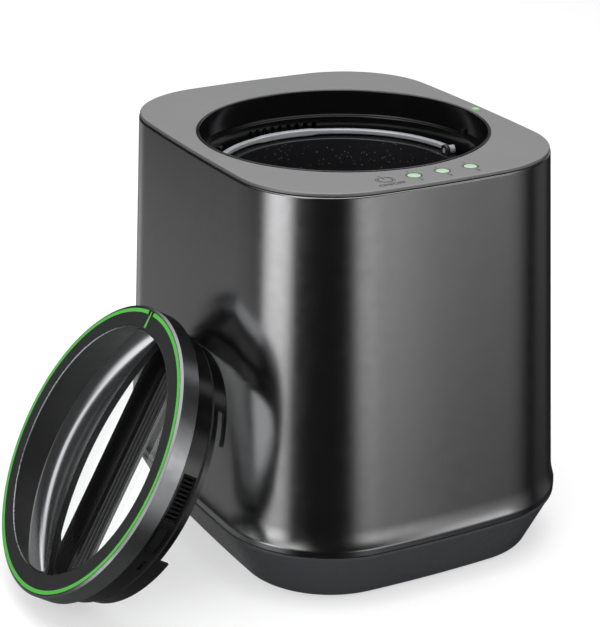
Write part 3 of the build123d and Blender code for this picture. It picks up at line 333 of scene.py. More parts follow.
# One row each: name, colour, shader values, two tones in patches (dark, light, size), roughness wandering in
# patches (low, high, size), and a grain as bump (size, depth, strength). None stands where a step is left out.
rows = {
    # Powder-coated steel sheet in gunmetal: metal flake in the coat mirrors a room as soft upright bands. The
    # flake is drawn at 1.1 mm, coarser than the real 0.1 mm.
    "shell": ("gunmetal_metallic_paint", "8c8c8d", {"Metallic": 1.0, "Roughness": 0.22},
              ("8a8a8b", "8e8e8f", 26), (0.20, 0.245, 9), (1.1, 0.0035, 0.5)),
    # Silver-grey metallic lacquer on ABS, satin: even, slightly grainy.
    "panel": ("silver_grey_satin_lacquer", "707071", {"Metallic": 0.55, "Roughness": 0.4},
              ("6f6f70", "727273", 30), (0.39, 0.42, 12), (0.7, 0.004, 0.3)),
    # Charcoal ABS with a fine spark-eroded skin: dark, with a soft broad sheen.
    "base": ("charcoal_textured_abs", "343538", {"Roughness": 0.42},
             ("323336", "37383b", 14), (0.36, 0.46, 4), (0.6, 0.012, 0.5)),
    # Black ABS moulded against a polished tool: deep, with clear reflections.
    "gloss": ("black_polished_abs", "0b0b0c", {"Roughness": 0.16}, None, (0.13, 0.21, 18), (7.0, 0.01, 0.3)),
    # Black ABS with a coarse tool texture, in a black a touch darker than the gloss collar: the rough texture
    # is real, and the darker colour is painted shade for the collar's vent recess.
    "deep": ("coarse_black_abs_painted_recess_shade", "080808", {"Roughness": 0.7}, ("070707", "0a0a0a", 6), None, (0.5, 0.02, 0.5)),
    # Black ABS under a hard clear coat: each rib of the lid's bar catches a thin line of light.
    "coated": ("hard_coated_black_abs", "0a0a0b",
               {"Roughness": 0.2, "Coat Weight": 1.0, "Coat IOR": 1.9, "Coat Roughness": 0.15},
               None, (0.17, 0.24, 18), None),
    # Black ABS with a light texture: satin, hides sink marks.
    "satin": ("black_satin_abs", "141415", {"Roughness": 0.45},
              ("121213", "171718", 8), (0.38, 0.5, 3), (0.5, 0.012, 0.5)),
    # Graphite ABS of the lid's flat ring: a shade lighter than the collar, fine matt grain.
    "graphite": ("graphite_matt_abs", "252526", {"Roughness": 0.5},
                 ("242425", "272728", 20), (0.46, 0.56, 3), (0.45, 0.01, 0.5)),
    # Turned aluminium with a grey anodised finish, finely uneven from the lathe.
    "band": ("grey_anodised_turned_aluminium", "9fa0a2", {"Metallic": 1.0, "Roughness": 0.3},
             ("9c9d9f", "a2a3a5", 30), (0.27, 0.34, 6), (0.8, 0.004, 0.4)),
    # The same aluminium cut with a diamond tool at the chamfer: even and sharp.
    "chamfer": ("diamond_cut_aluminium", "828385", {"Metallic": 1.0, "Roughness": 0.3},
                None, (0.27, 0.33, 3), (0.8, 0.002, 0.3)),
    # Leaf-green pad-printed ink: flat colour, faintly uneven.
    "green": ("leaf_green_pad_print", "4fa845", {"Roughness": 0.38},
              ("4da643", "52ab48", 4), None, (0.35, 0.004, 0.4)),
    # Dark printed legend ink.
    "ink": ("dark_legend_ink", "18181a", {"Roughness": 0.5}, ("161617", "1c1c1e", 1.5), None, None),
    # Milky acrylic of a key cap with a lamp under it: pale green, unevenly lit.
    "lit": ("milky_acrylic_lit_green", "92ac92",
            {"Roughness": 0.35, "Subsurface Weight": 0.15, "Subsurface Scale": 0.001,
             "Emission Strength": 0.04}, ("789d78", "a5baa5", 4.0), None, (0.5, 0.004, 0.3)),
    # Clear polycarbonate sheet, with the faint waviness of a moulded pane.
    "clear": ("clear_polycarbonate", "fbfdfd", {"Roughness": 0.02, "IOR": 1.58, "Transmission Weight": 1.0},
              None, None, (14.0, 0.006, 0.07)),
    # Metallic-grey lacquer of the handle, over a smooth moulded crown.
    "handle": ("polished_grey_lacquer", "a4a5a7", {"Metallic": 0.95, "Roughness": 0.24},
               ("a1a2a4", "a7a8aa", 40), (0.23, 0.26, 25), None),
    # Silver-grey glass-filled nylon of the bucket's bail: satin with flow marks.
    "bail": ("silver_grey_nylon", "a5a6aa", {"Roughness": 0.36, "Metallic": 0.3},
             ("9c9da1", "aeafb3", 7), (0.3, 0.42, 3), (0.8, 0.01, 0.4)),
    # Die-cast aluminium, shot-blasted: pale grey, dull, pitted.
    "cast": ("shot_blasted_cast_aluminium", "a6a8ab", {"Metallic": 1.0, "Roughness": 0.46},
             ("9b9da0", "b1b3b6", 6), (0.4, 0.55, 2.5), (0.9, 0.03, 0.5)),
    # Zinc-plated steel: bright grey, in patches of one crystal size.
    "steel": ("zinc_plated_steel", "b9bcc0", {"Metallic": 1.0, "Roughness": 0.28},
              ("b0b3b7", "c2c5c9", 5), (0.22, 0.36, 2), (0.6, 0.006, 0.4)),
    # Turned brass: warm, slightly dull.
    "brass": ("turned_brass", "c9a765", {"Metallic": 1.0, "Roughness": 0.3},
              ("bf9c5a", "d2b171", 3), (0.25, 0.4, 2), None),
    # Natural nylon of the gears: waxy ivory, slightly translucent.
    "nylon": ("natural_nylon", "e4e0d2",
              {"Roughness": 0.42, "Subsurface Weight": 0.15, "Subsurface Scale": 0.003},
              ("dfdaca", "e9e6da", 5), None, (0.6, 0.01, 0.4)),
    # Moulded rubber of feet and seal: dull with a dusty bloom.
    "rubber": ("moulded_black_rubber", "1a1a1b", {"Roughness": 0.75},
               ("171718", "202021", 6), None, (0.5, 0.03, 0.6)),
    # PVC sheath of leads and ribbon: grey, softly shiny.
    "pvc": ("grey_pvc_sheath", "85868a", {"Roughness": 0.45}, ("808185", "8b8c90", 8), None, (0.6, 0.01, 0.4)),
}


# Non-stick coating sprayed on deep-drawn aluminium: near black with pale flecks.
def nonStick():
    material, tree, shader, coords = startMaterial("speckled_nonstick_coating", "1d1d1f", {"Roughness": 0.33})
    cells = addNode(tree, "ShaderNodeTexVoronoi", {"Scale": 1 / (3.2 * mm)}, {"Vector": (coords, "Object")})
    fleck = addNode(tree, "ShaderNodeMapRange",
                    {"From Min": 0.10, "From Max": 0.16, "To Min": 1.0, "To Max": 0.0},
                    {"Value": (cells, "Distance")})
    twoTones(tree, shader, fleck, 0, "1b1b1d", "6f6f70")
    grainBump(tree, shader, coords, 0.8, 0.012, 0.5)
    return material


# Glass-epoxy circuit board under green solder mask.
def circuitBoard():
    material, tree, shader, coords = startMaterial("green_solder_mask", "1d5a38", {"Roughness": 0.35})
    cells = addNode(tree, "ShaderNodeTexBrick",
                    {"Scale": 1 / (9.0 * mm), "Mortar Size": 0.03, "offset": 0.35,
                     "Color1": toLinear("1b5635"), "Color2": toLinear("21633e"),
                     "Mortar": toLinear("2f8353")}, {"Vector": (coords, "Object")})
    tree.links.new(cells.outputs[0], shader.inputs["Base Color"])
    grainBump(tree, shader, coords, 0.6, 0.02, 0.4)
    return material


# Activated carbon granules packed behind a screen, each painted lighter at its middle and darker towards its
# edge: painted shade in the gaps between granules.
def carbonGranules():
    material, tree, shader, coords = startMaterial("activated_carbon_granules_painted_gap_shade", "161616", {"Roughness": 0.7})
    cells = addNode(tree, "ShaderNodeTexVoronoi", {"Scale": 1 / (2.4 * mm)}, {"Vector": (coords, "Object")})
    # Painted shade: dark where the cells meet, between the granules.
    twoTones(tree, shader, cells, "Distance", "2a2a2a", "0a0a0a")
    bump = addNode(tree, "ShaderNodeBump", {"Strength": 0.9, "Distance": 1.2 * mm, "invert": True},
                   {"Height": (cells, "Distance")})
    tree.links.new(bump.outputs[0], shader.inputs["Normal"])
    return material


finish = {key: makeFinish(*row) for key, row in rows.items()}
finish.update(pan=nonStick(), board=circuitBoard(), carbon=carbonGranules())
print("materials made:", len(finish))


# The housing's plan: shallow bows joined by corner arcs, all grown from the same centres.
housing = {
    "halfWidth": 127.5, "halfDepth": 156.5, "sideBow": 2290.0, "frontBow": 970.0, "cornerRadius": 76.0,
    "height": 321.0, "seamHeight": 44.5, "taper": 12.5, "panelThickness": 2.4, "seamGap": 0.6,
    "flareHeight": 21.0, "flareReach": 1.8, "flarePower": 2.2, "lipHeight": 5.0, "wall": 2.5, "rimDepth": 20.0,
    "lipRadius": 112.8, "rearCut": (100, 200),    # rearCut: where cutters through the rear wall start and end
}


def planArcs():
    ax, by = housing["halfWidth"] - housing["sideBow"], housing["halfDepth"] - housing["frontBow"]
    r0, r1 = housing["sideBow"] - housing["cornerRadius"], housing["frontBow"] - housing["cornerRadius"]
    d = math.hypot(ax, by)
    along = (r0 * r0 - r1 * r1 + d * d) / (2 * d)
    off = math.sqrt(r0 * r0 - along * along)
    ux, uy = -ax / d, by / d
    px, py = ax + along * ux, along * uy
    cx, cy = max((px - off * uy, py + off * ux), (px + off * uy, py - off * ux))
    a1 = math.degrees(math.atan2(cy, cx - ax))
    a2 = math.degrees(math.atan2(cx, cy - by))
    side, front, corner = housing["sideBow"], housing["frontBow"], housing["cornerRadius"]
    long, short = 22, 30    # steps along a bow and round a corner
    return [(ax, 0, side, -a1, a1, long), (cx, cy, corner, a1, 90 - a2, short),
            (0, by, front, 90 - a2, 90 + a2, long), (-cx, cy, corner, 90 + a2, 180 - a1, short),
            (-ax, 0, side, 180 - a1, 180 + a1, long), (-cx, -cy, corner, 180 + a1, 270 - a2, short),
            (0, -by, front, 270 - a2, 270 + a2, long), (cx, -cy, corner, 270 + a2, 360 - a1, short)]


def planRing(grow, z):
    ring = []
    for x, y, r, start, stop, steps in planArcs():
        for i in range(steps):
            px, py = polar(r + grow, start + (stop - start) * i / steps, x, y)
            ring.append((px, py, z))
    return ring


def growAt(z):
    rise = (z - housing["seamHeight"]) / (housing["height"] - housing["seamHeight"])
    return housing["taper"] * (1 - rise)


flareGrow = housing["taper"] + housing["flareReach"]
shellTop = housing["height"] - housing["panelThickness"] - housing["seamGap"]
shellFoot = housing["seamHeight"] + housing["seamGap"] / 2
lipTopZ = housing["seamHeight"] + housing["lipHeight"]
flareTopZ = housing["seamHeight"] + housing["flareHeight"]


def flaredWall(inset, steps=14):    # (growth, height) from the lip up to the end of the flare
    path = []
    for i in range(steps + 1):
        t = i / steps
        z = lipTopZ + (flareTopZ - lipTopZ) * t
        path.append((growAt(z) + (flareGrow - growAt(lipTopZ)) * (1 - t) ** housing["flarePower"] - inset, z))
    return path


filterDoor = {"halfWidth": 46.0, "low": 134.0, "high": 270.0, "corner": 10.0, "gap": 0.4}
inletHole = {"halfWidth": 25.0, "halfHeight": 14.0, "middle": 74.0, "corner": 3.0}


def rearPlaque(halfW, low, high, r, y0=housing["rearCut"][0], y1=housing["rearCut"][1]):    # rounded, along y
    return prismY(roundRect(halfW, (high - low) / 2, r, 0.0, (low + high) / 2), y0, y1)


def makeOuterShell():
    w, under = housing["wall"], shellTop - housing["rimDepth"]
    levels = [flareTopZ + 40 * i for i in range(1, 6)]
    rim = rounded([(growAt(under), under), (growAt(shellTop), shellTop, 1.1),
                   (growAt(shellTop) - w, shellTop, 0.4), (growAt(under) - w, under)], closed=False,
                  support=0.5)
    foot = rounded([(flareGrow - w, shellFoot + 4), (flareGrow - w, shellFoot, 0.2),
                    (flareGrow, shellFoot, 0.45), (flareGrow, shellFoot + 4.2)], closed=False, support=0.3)
    inner = list(reversed(flaredWall(w, 5)))
    path = foot + flaredWall(0) + [(growAt(z), z) for z in levels] + rim + inner
    door, hole = filterDoor, inletHole
    cutters = [rearPlaque(door["halfWidth"], door["low"], door["high"], door["corner"]),
               rearPlaque(hole["halfWidth"], hole["middle"] - hole["halfHeight"],
                          hole["middle"] + hole["halfHeight"], hole["corner"])]
    piece("outer_shell_skin", gridMesh([planRing(g, z) for g, z in path], True, True), onHousing,
          "shell", ["outer_shell"], cutters)


makeOuterShell()
print("outer shell done")


# Foot of the housing.
baseTray = {
    "bottom": 2.5, "inset": 6.2, "edge": 2.0, "floor": 2.5, "lipDrop": 2.2, "wall": 4.3,
    "screwX": 80.0, "screwY": 105.0, "screwHole": 4.3, "footX": 84.0, "footY": 122.0, "footRadius": 10.0,
    "footSink": 1.2, "slots": 7, "slotPitch": 9.0, "slotWidth": 3.4, "slotHalfLength": 23.0, "slotX": 3.0,
    "firstSlot": 20.0, "innerGrow": -120.0,    # innerGrow: how far in the floor's section is drawn
}


def fourSpots(x, y):
    return [(sx * x, sy * y) for sx in (-1, 1) for sy in (-1, 1)]


def makeBaseTray():
    b = baseTray
    top = housing["seamHeight"] - housing["seamGap"] / 2
    lip = flareGrow - 0.2
    path = rounded([(b["innerGrow"], b["bottom"]), (-b["inset"], b["bottom"], b["edge"]),
                    (lip - 0.9, top - b["lipDrop"] - 1.0, 0.7), (lip, top - b["lipDrop"], 0.3),
                    (lip, top, 0.3), (lip - b["wall"], top, 0.2),
                    (-b["inset"] - b["wall"], b["bottom"] + b["floor"], 1.5),
                    (b["innerGrow"], b["bottom"] + b["floor"])], closed=False, support=0.6)
    rings = [planRing(g, z) for g, z in path if g > b["innerGrow"]]
    shares = (0.05, 0.4, 0.7)    # rings of the floor on the way from its middle
    under = [[(x * k, y * k, b["bottom"]) for x, y, _ in rings[0]] for k in shares]
    over = [[(x * k, y * k, b["bottom"] + b["floor"]) for x, y, _ in rings[-1]] for k in reversed(shares)]
    verts, faces = gridMesh(under + rings + over)
    count = len(rings[0])
    verts += [(0, 0, b["bottom"]), (0, 0, b["bottom"] + b["floor"])]
    last = len(verts) - 2 - count
    for j in range(count):
        k = (j + 1) % count
        faces += [(j, k, len(verts) - 2), (last + j, last + k, len(verts) - 1)]
    cutters = [prism(circle(b["screwHole"], x, y), -5, 12) for x, y in fourSpots(b["screwX"], b["screwY"])]
    cutters += [prism(circle(b["footRadius"] + 0.1, x, y), -5, b["bottom"] + b["footSink"])
                for x, y in fourSpots(b["footX"], b["footY"])]
    for i in range(b["slots"]):
        outline = roundRect(b["slotHalfLength"], b["slotWidth"] / 2, 1.6, b["slotX"],
                            b["firstSlot"] + b["slotPitch"] * i + b["slotWidth"] / 2)
        cutters.append(prism(outline, -5, b["bottom"] + b["floor"] + 2))
    piece("base_tray_skin", (verts, faces), onHousing, "base", ["base_tray"], cutters)


def makeFeet():
    b = baseTray
    r, top = b["footRadius"], b["bottom"] + b["footSink"]
    one = lathe([(0, 0), (r - 1.4, 0, 0.5), (r, 1.4, 0.5), (r, top, 0.2), (0, top)], 0.1, 48)
    feet = [shifted(one, x, y) for x, y in fourSpots(b["footX"], b["footY"])]
    piece("rubber_foot_pads", joined(feet), onHousing, "rubber", ["rubber_feet"])


makeBaseTray()
makeFeet()
print("foot done")


# Top panel with its keys, lamps and marks.
panel = {"edge": 0.9, "gapInside": 0.6, "hole": 113.0, "keyPitch": 23.7, "keyX": -2.05, "keyY": -135.5,
         "keyRadius": 5.0, "keyGap": 0.3, "powerRadius": 6.9, "ringOuter": 6.2, "ringInner": 5.35,
         "lampAhead": 9.4, "lampRadius": 0.9, "legendBehind": 10.6, "legendHeight": 4.4, "legendSpread": 0.18,
         "signOuter": 5.8, "signInner": 4.8, "signOpening": 24.0, "barHalfWidth": 0.55, "barHalfLength": 2.6,
         "barUp": 3.9, "markHalf": (3.2, 3.9), "markHeart": -1.2}
panelTop = housing["height"]
panelLow = panelTop - housing["panelThickness"]
keyXs = [panel["keyX"] + panel["keyPitch"] * (i - 1.5) for i in range(4)]
markX = (housing["lipRadius"] + housing["halfWidth"]) / 2


def holeRing(outline, r, z):    # a circle about the bin whose points face the outline's points
    ring = []
    for x, y, _ in outline:
        t = math.atan2(y - binY, x)
        ring.append((r * math.cos(t), binY + r * math.sin(t), z))
    return ring


def between(a, b, share):
    return [tuple(p + (q - p) * share for p, q in zip(u, v)) for u, v in zip(a, b)]


def makeTopPanel():
    g = -panel["gapInside"]
    rim = rounded([(g - 6, panelLow), (g, panelLow, 0.2), (g, panelTop, panel["edge"]), (g - 6, panelTop)],
                  closed=False, support=0.4)
    rings = [planRing(grow, z) for grow, z in rim]
    outer = rings[-1]
    mouth = rounded([(panel["hole"] + 3, panelTop), (panel["hole"], panelTop, 0.35),
                     (panel["hole"], panelLow, 0.1), (panel["hole"] + 3, panelLow)], closed=False,
                    support=0.3)
    mouthRings = [holeRing(outer, r, z) for r, z in mouth]
    rings += [between(outer, mouthRings[0], k) for k in (0.3, 0.65)] + mouthRings
    cutters = []
    for i, x in enumerate(keyXs):
        y = panel["keyY"]
        r = panel["keyRadius"] if i else panel["powerRadius"]
        cutters.append(prism(circle(r + panel["keyGap"], x, y, 72), panelLow - 1, panelTop + 1))
        cutters.append(prism(circle(panel["lampRadius"], x, y + panel["lampAhead"], 24), panelLow - 1,
                             panelTop + 1))
    piece("top_panel_skin", gridMesh(rings, True, True), onHousing, "panel", ["top_panel"],
          cutters, smooth=50)


def keyCap(r, low, high, x):
    profile = lathe([(0, low), (r, low), (r, high, 0.35), (0, high)], 0.1, 64)
    return shifted(profile, x, panel["keyY"])


def keyLens(x):    # very slightly domed cap
    r, high = panel["keyRadius"], panelTop + 0.2
    profile = [(0, panelLow - 3), (r, panelLow - 3), (r, high - 0.45), (r - 0.1, high - 0.2),
               (r - 0.35, high - 0.05), (r - 1.2, high), (r * 0.5, high + 0.05), (0, high + 0.08)]
    return shifted(turned(profile, steps=64), x, panel["keyY"])


def powerSign(x):    # ring open at the far side with a bar through the opening, as on any mains switch
    k, z0, z1 = panel, panelTop + 0.1, panelTop + 0.24
    ring = turned([(k["signOuter"], z0), (k["signOuter"], z1), (k["signInner"], z1), (k["signInner"], z0)],
                  90 + k["signOpening"], 450 - k["signOpening"], 72)
    bar = prism(roundRect(k["barHalfWidth"], k["barHalfLength"], 0.5, 0.0, k["barUp"]), z0, z1)
    return [shifted(shape, x, k["keyY"]) for shape in (ring, bar)]


def makeKeys():
    ringZ = panelTop + 0.06
    onKey = (housingPlace, "power_key")
    cap = keyCap(panel["powerRadius"], panelLow - 3, panelTop + 0.12, keyXs[0])
    piece("power_key_cap", cap, onKey, "panel", ["power_button"])
    piece("power_sign", joined(powerSign(keyXs[0])), onKey, "ink", ["power_glyph"])
    rings, lamps = [], []
    for i, x in enumerate(keyXs):
        if i:
            piece(f"mode_key_cap_{i}", keyLens(x), (housingPlace, f"mode_key_{i}"), "lit",
                  [f"mode_button_{i}"])
            profile = lathe([(panel["ringInner"], panelTop - 1), (panel["ringOuter"], panelTop - 1),
                             (panel["ringOuter"], ringZ, 0.05), (panel["ringInner"], ringZ, 0.05)], 0.05, 72)
            rings.append(shifted(profile, x, panel["keyY"]))
        lamp = [(0, panelTop - 6), (panel["lampRadius"] - 0.03, panelTop - 6),
                (panel["lampRadius"] - 0.03, panelTop), (panel["lampRadius"] * 0.6, panelTop + 0.12),
                (0, panelTop + 0.16)]
        lamps.append(shifted(turned(lamp, steps=24), x, panel["keyY"] + panel["lampAhead"]))
    piece("key_rings", joined(rings), onHousing, "satin", ["button_rings"])
    piece("lamp_lenses", joined(lamps), onHousing, "gloss", ["indicator_lamps"])


def makeMark():    # green oval with a pale heart, where the lid's pointer ends up
    for name, grown, high, finishKey, replaced in (("mouth_mark", 0.0, 0.07, "green", ["panel_mark"]),
                                                   ("mouth_mark_heart", panel["markHeart"], 0.1, "lit", ())):
        halfX, halfY = (half + grown for half in panel["markHalf"])
        oval = [(markX + halfX * x, binY + halfY * y) for x, y in circle(1.0)]
        piece(name, prism(oval, panelTop - 0.3, panelTop + high), onHousing, finishKey, replaced)


def makeLegends():
    for i, word in enumerate(("ON/OFF", "1", "2", "3")):
        curve = bpy.data.curves.new(f"legend_{i}", "FONT")
        curve.body = word
        curve.size = panel["legendHeight"] * mm * 1.35    # the font's capitals are shorter than its size
        curve.align_x = "CENTER"
        curve.align_y = "CENTER"
        curve.extrude = 0.03 * mm
        curve.offset = panel["legendSpread"] * mm    # bolder strokes
        curve.resolution_u = 6
        text = newObject("text", curve)
        view = bpy.context.evaluated_depsgraph_get()
        mesh = bpy.data.meshes.new_from_object(text.evaluated_get(view))
        bpy.data.objects.remove(text)
        spot = housingPlace @ Vector((keyXs[i], panel["keyY"] - panel["legendBehind"], panelTop + 0.04))
        mesh.transform(Matrix.Translation(spot))
        legend = newObject(f"key_legend_{i}", mesh)
        mesh.materials.clear()
        mesh.materials.append(finish["ink"])
        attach(legend, "housing")


makeTopPanel()
makeKeys()
makeMark()
makeLegends()
print("top panel done")


# Mouth of the bin.
neck = {"bore": 110.3, "lip": housing["lipRadius"], "rise": 0.6, "ledge": 301.0, "ledgeRadius": 106.0,
        "low": 281.3, "wall": 1.3, "flange": 4.5, "slots": 9, "slotPitch": 4.0, "studAngles": (-50.0, 130.0),
        "studRadius": 2.4, "studIn": 3.4, "studDrop": 8.0, "slotHalf": (5.1, 2.0), "slotDrop": 9.7}


def makeNeck():
    n = neck
    lip, r = panelTop + n["rise"], n["ledgeRadius"]
    flange = panelLow - 0.15
    profile = lathe([
        (r, n["low"], 0.3), (r + n["wall"], n["low"], 0.3), (r + n["wall"], n["ledge"] - 2.5),
        (n["lip"], n["ledge"] - 2.5), (n["lip"], flange - 2.4), (n["lip"] + n["flange"], flange - 2.4),
        (n["lip"] + n["flange"], flange), (n["lip"], flange), (n["lip"], lip, 0.5), (n["bore"], lip, 0.8),
        (n["bore"], n["ledge"], 0.9), (r, n["ledge"], 0.8)], 0.25, 192)
    sideways = Matrix.Rotation(math.pi / 2, 4, "Y")
    cutters = []
    for i in range(n["slots"]):
        slot = moved(prism(roundRect(*n["slotHalf"], 1.9), -4, 5), sideways)
        slot = shifted(slot, r + 1, 0, n["ledge"] - n["slotDrop"])
        cutters.append(turnedAbout(slot, 90 + n["slotPitch"] * (i - (n["slots"] - 1) / 2)))
    piece("neck_ring_skin", profile, inBin, "gloss", ["neck_ring"], cutters)
    studs = []
    for a in n["studAngles"]:
        pin = lathe([(0, 0), (n["studRadius"], 0, 0.6), (n["studRadius"], n["studIn"] + 0.6),
                     (0, n["studIn"] + 0.6)], 0.1, 32)
        pin = shifted(moved(pin, sideways), r - n["studIn"], 0, n["ledge"] - n["studDrop"])
        studs.append(turnedAbout(pin, a))
    piece("bayonet_studs", joined(studs), inBin, "gloss")


makeNeck()
print("neck done")


# Rear: filter door with its louvres, and the mains inlet.
door = {"louvreHalfWidth": 30.0, "louvreHeight": 4.6, "louvrePitch": 13.0, "firstUp": 24.0, "lastDown": 34.0,
        "pullHalfWidth": 15.0, "pullLow": 17.0, "pullHigh": 8.0, "pullCorner": 4.4, "pegX": 36.0,
        "pegIn": 12.0, "pegRadius": 3.0, "pegBack": 150.0}


def makeFilterDoor():
    f, gap, w = filterDoor, filterDoor["gap"], housing["wall"]
    heights = [f["low"] - 8 + 12 * i for i in range(14)]
    path = [(growAt(z), z) for z in heights] + [(growAt(z) - w, z) for z in reversed(heights)]
    cutters = []
    z = f["low"] + door["firstUp"]
    while z < f["high"] - door["lastDown"]:
        cutters.append(rearPlaque(door["louvreHalfWidth"], z, z + door["louvreHeight"], 1.2))
        z += door["louvrePitch"]
    cutters.append(rearPlaque(door["pullHalfWidth"], f["high"] - door["pullLow"],
                              f["high"] - door["pullHigh"], door["pullCorner"]))
    plaque = rearPlaque(f["halfWidth"] - gap, f["low"] + gap, f["high"] - gap, f["corner"] - gap)
    onDrawer = (housingPlace, "filter_drawer")
    piece("filter_door", gridMesh([planRing(g, z) for g, z in path], True, True), onDrawer,
          "base", ["filter_cover"], cutters, [plaque], edge=0.45, segments=2)
    pegs = [prismY(circle(door["pegRadius"], x, z, 32), door["pegBack"],
                   housing["halfDepth"] + growAt(z) - w + 0.4) for x in (-door["pegX"], door["pegX"])
            for z in (f["low"] + door["pegIn"], f["high"] - door["pegIn"])]
    piece("filter_door_pegs", joined(pegs), onDrawer, "base", edge=0.3)


inlet = {"gap": 0.3, "back": 140.0, "front": 169.4, "socketHalfWidth": 12.2, "socketHalfHeight": 8.2,
         "socketCorner": 2.5, "socketFloor": 152.0, "pinBack": 152.0, "pinFront": 165.0,
         "pins": ((-7, -2), (0, 2), (7, -2)), "pinHalf": (1, 2)}


def makeInlet():
    n, hole = inlet, inletHole
    mid, h, socket = hole["middle"], hole["halfHeight"] - n["gap"], n["socketHalfHeight"]
    body = rearPlaque(hole["halfWidth"] - n["gap"], mid - h, mid + h, hole["corner"] - n["gap"], n["back"],
                      n["front"])
    cutter = rearPlaque(n["socketHalfWidth"], mid - socket, mid + socket, n["socketCorner"], n["socketFloor"])
    piece("mains_inlet", body, onHousing, "satin", ["power_inlet"], [cutter], edge=0.5)
    halfX, halfZ = n["pinHalf"]
    blades = [block(x - halfX, x + halfX, n["pinBack"], n["pinFront"], mid + z - halfZ, mid + z + halfZ)
              for x, z in n["pins"]]
    piece("mains_pins", joined(blades), onHousing, "brass", ["inlet_pins"], edge=0.35)


makeFilterDoor()
makeInlet()
print("rear done")


# Bucket, its breakers, the stirring arms and the bail.
pail = {"bottom": 130.3, "top": 286.5, "radius": 92.5, "draft": 4.5, "wall": 2.2, "rim": 101.0,
        "hubTop": 139.0, "hubBore": 13.0, "hubWall": 2.6, "earHalfWidth": 4.6, "earThick": 3.4,
        "pivotUp": 4.0, "pivotHole": 2.05, "journal": 9.0}


def pailRadius(z):
    return pail["radius"] - pail["draft"] * (pail["top"] - z) / (pail["top"] - pail["bottom"])


def ear(x0):
    low, pivot, r = pail["top"] - 1, pail["top"] + pail["pivotUp"], pail["earHalfWidth"]
    outline = [(-r, low), (r, low)] + [polar(r, 180 * i / 16, 0, pivot) for i in range(17)]
    return prismX(outline, x0, x0 + pail["earThick"])


def makePail():
    p = pail
    r1, r0, w, z0, z1 = p["radius"], p["radius"] - p["draft"], p["wall"], p["bottom"], p["top"]
    hub = p["hubBore"] + p["hubWall"]
    profile = lathe([(p["hubBore"], z0, 0.4), (r0, z0, 4.0), (r1, z1 - 2.2, 1.2),
                     (p["rim"] - 1.6, z1 - 2.2, 0.6), (p["rim"] - 1.6, z1 - 5, 0.3), (p["rim"], z1 - 5, 0.4),
                     (p["rim"], z1, 1.0), (r1 - w, z1, 0.9), (r0 - w, z0 + 3, 6.0), (hub, z0 + 3, 1.2),
                     (hub, p["hubTop"], 0.6), (p["hubBore"], p["hubTop"], 0.3)], 0.4, 192)
    piece("pail_shell", profile, inBucket, "pan", ["bucket_shell"])
    hole = prismX(circle(p["pivotHole"], 0, z1 + p["pivotUp"], 24), -2 * p["rim"], 2 * p["rim"])
    inner = p["rim"] - 6.2 - p["earThick"]
    ears = joined([ear(inner), ear(-inner - p["earThick"])])
    piece("pail_ears", ears, inBucket, "pan", cutters=[hole], edge=0.5)
    z, half = p["hubTop"], p["journal"] + 0.05
    bush = lathe([(half, z0, 0.3), (p["hubBore"], z0, 0.3), (p["hubBore"], z, 0.3), (half, z, 0.3)], 0.1, 64)
    piece("pail_bush", bush, inBucket, "brass", ["bucket_bushing"])


breakers = {"angles": (60.0, 180.0, 300.0), "up": 43.0, "inner": 58.0, "tip": (1.5, 4.0), "root": (3.0, 8.0)}


def makeBreakers():
    b = breakers
    middle = pail["bottom"] + b["up"]
    blades = []
    for a in b["angles"]:
        rings = []
        for k in range(9):
            share = k / 8
            halfW = b["tip"][0] + (b["root"][0] - b["tip"][0]) * share
            halfH = b["tip"][1] + (b["root"][1] - b["tip"][1]) * share
            outer = [pailRadius(middle + z) - pail["wall"] - 0.1 for z in (-halfH, halfH)]
            ring = []
            for y, z in roundRect(halfW, halfH, min(halfW, halfH) * 0.6):
                reach = outer[0] + (outer[1] - outer[0]) * (z + halfH) / (2 * halfH)
                end = math.sqrt(max(reach * reach - y * y, 1.0))
                ring.append((b["inner"] + (end - b["inner"]) * share, y, middle + z))
            rings.append(ring)
        blades.append(turnedAbout(capped(rings), a))
    piece("pail_breakers", joined(blades), inBucket, "cast", ["bucket_breakers"])


# Arms: angle, height above the base, and height of the fin at the tip, if it has one.
mixer = {"base": 139.3, "hub": 17.0, "root": 8.0, "reach": 80.0, "tipFrom": 70.0, "tipHalf": 3.5,
         "arms": ((0.0, 2.0, 16.0), (120.0, 6.0, 0.0), (240.0, 0.6, 10.0)), "hexFlat": 10.6, "hexTop": 138.0}


def hexagon(flat):
    return [polar(flat / math.sqrt(3), 60 * i) for i in range(6)]


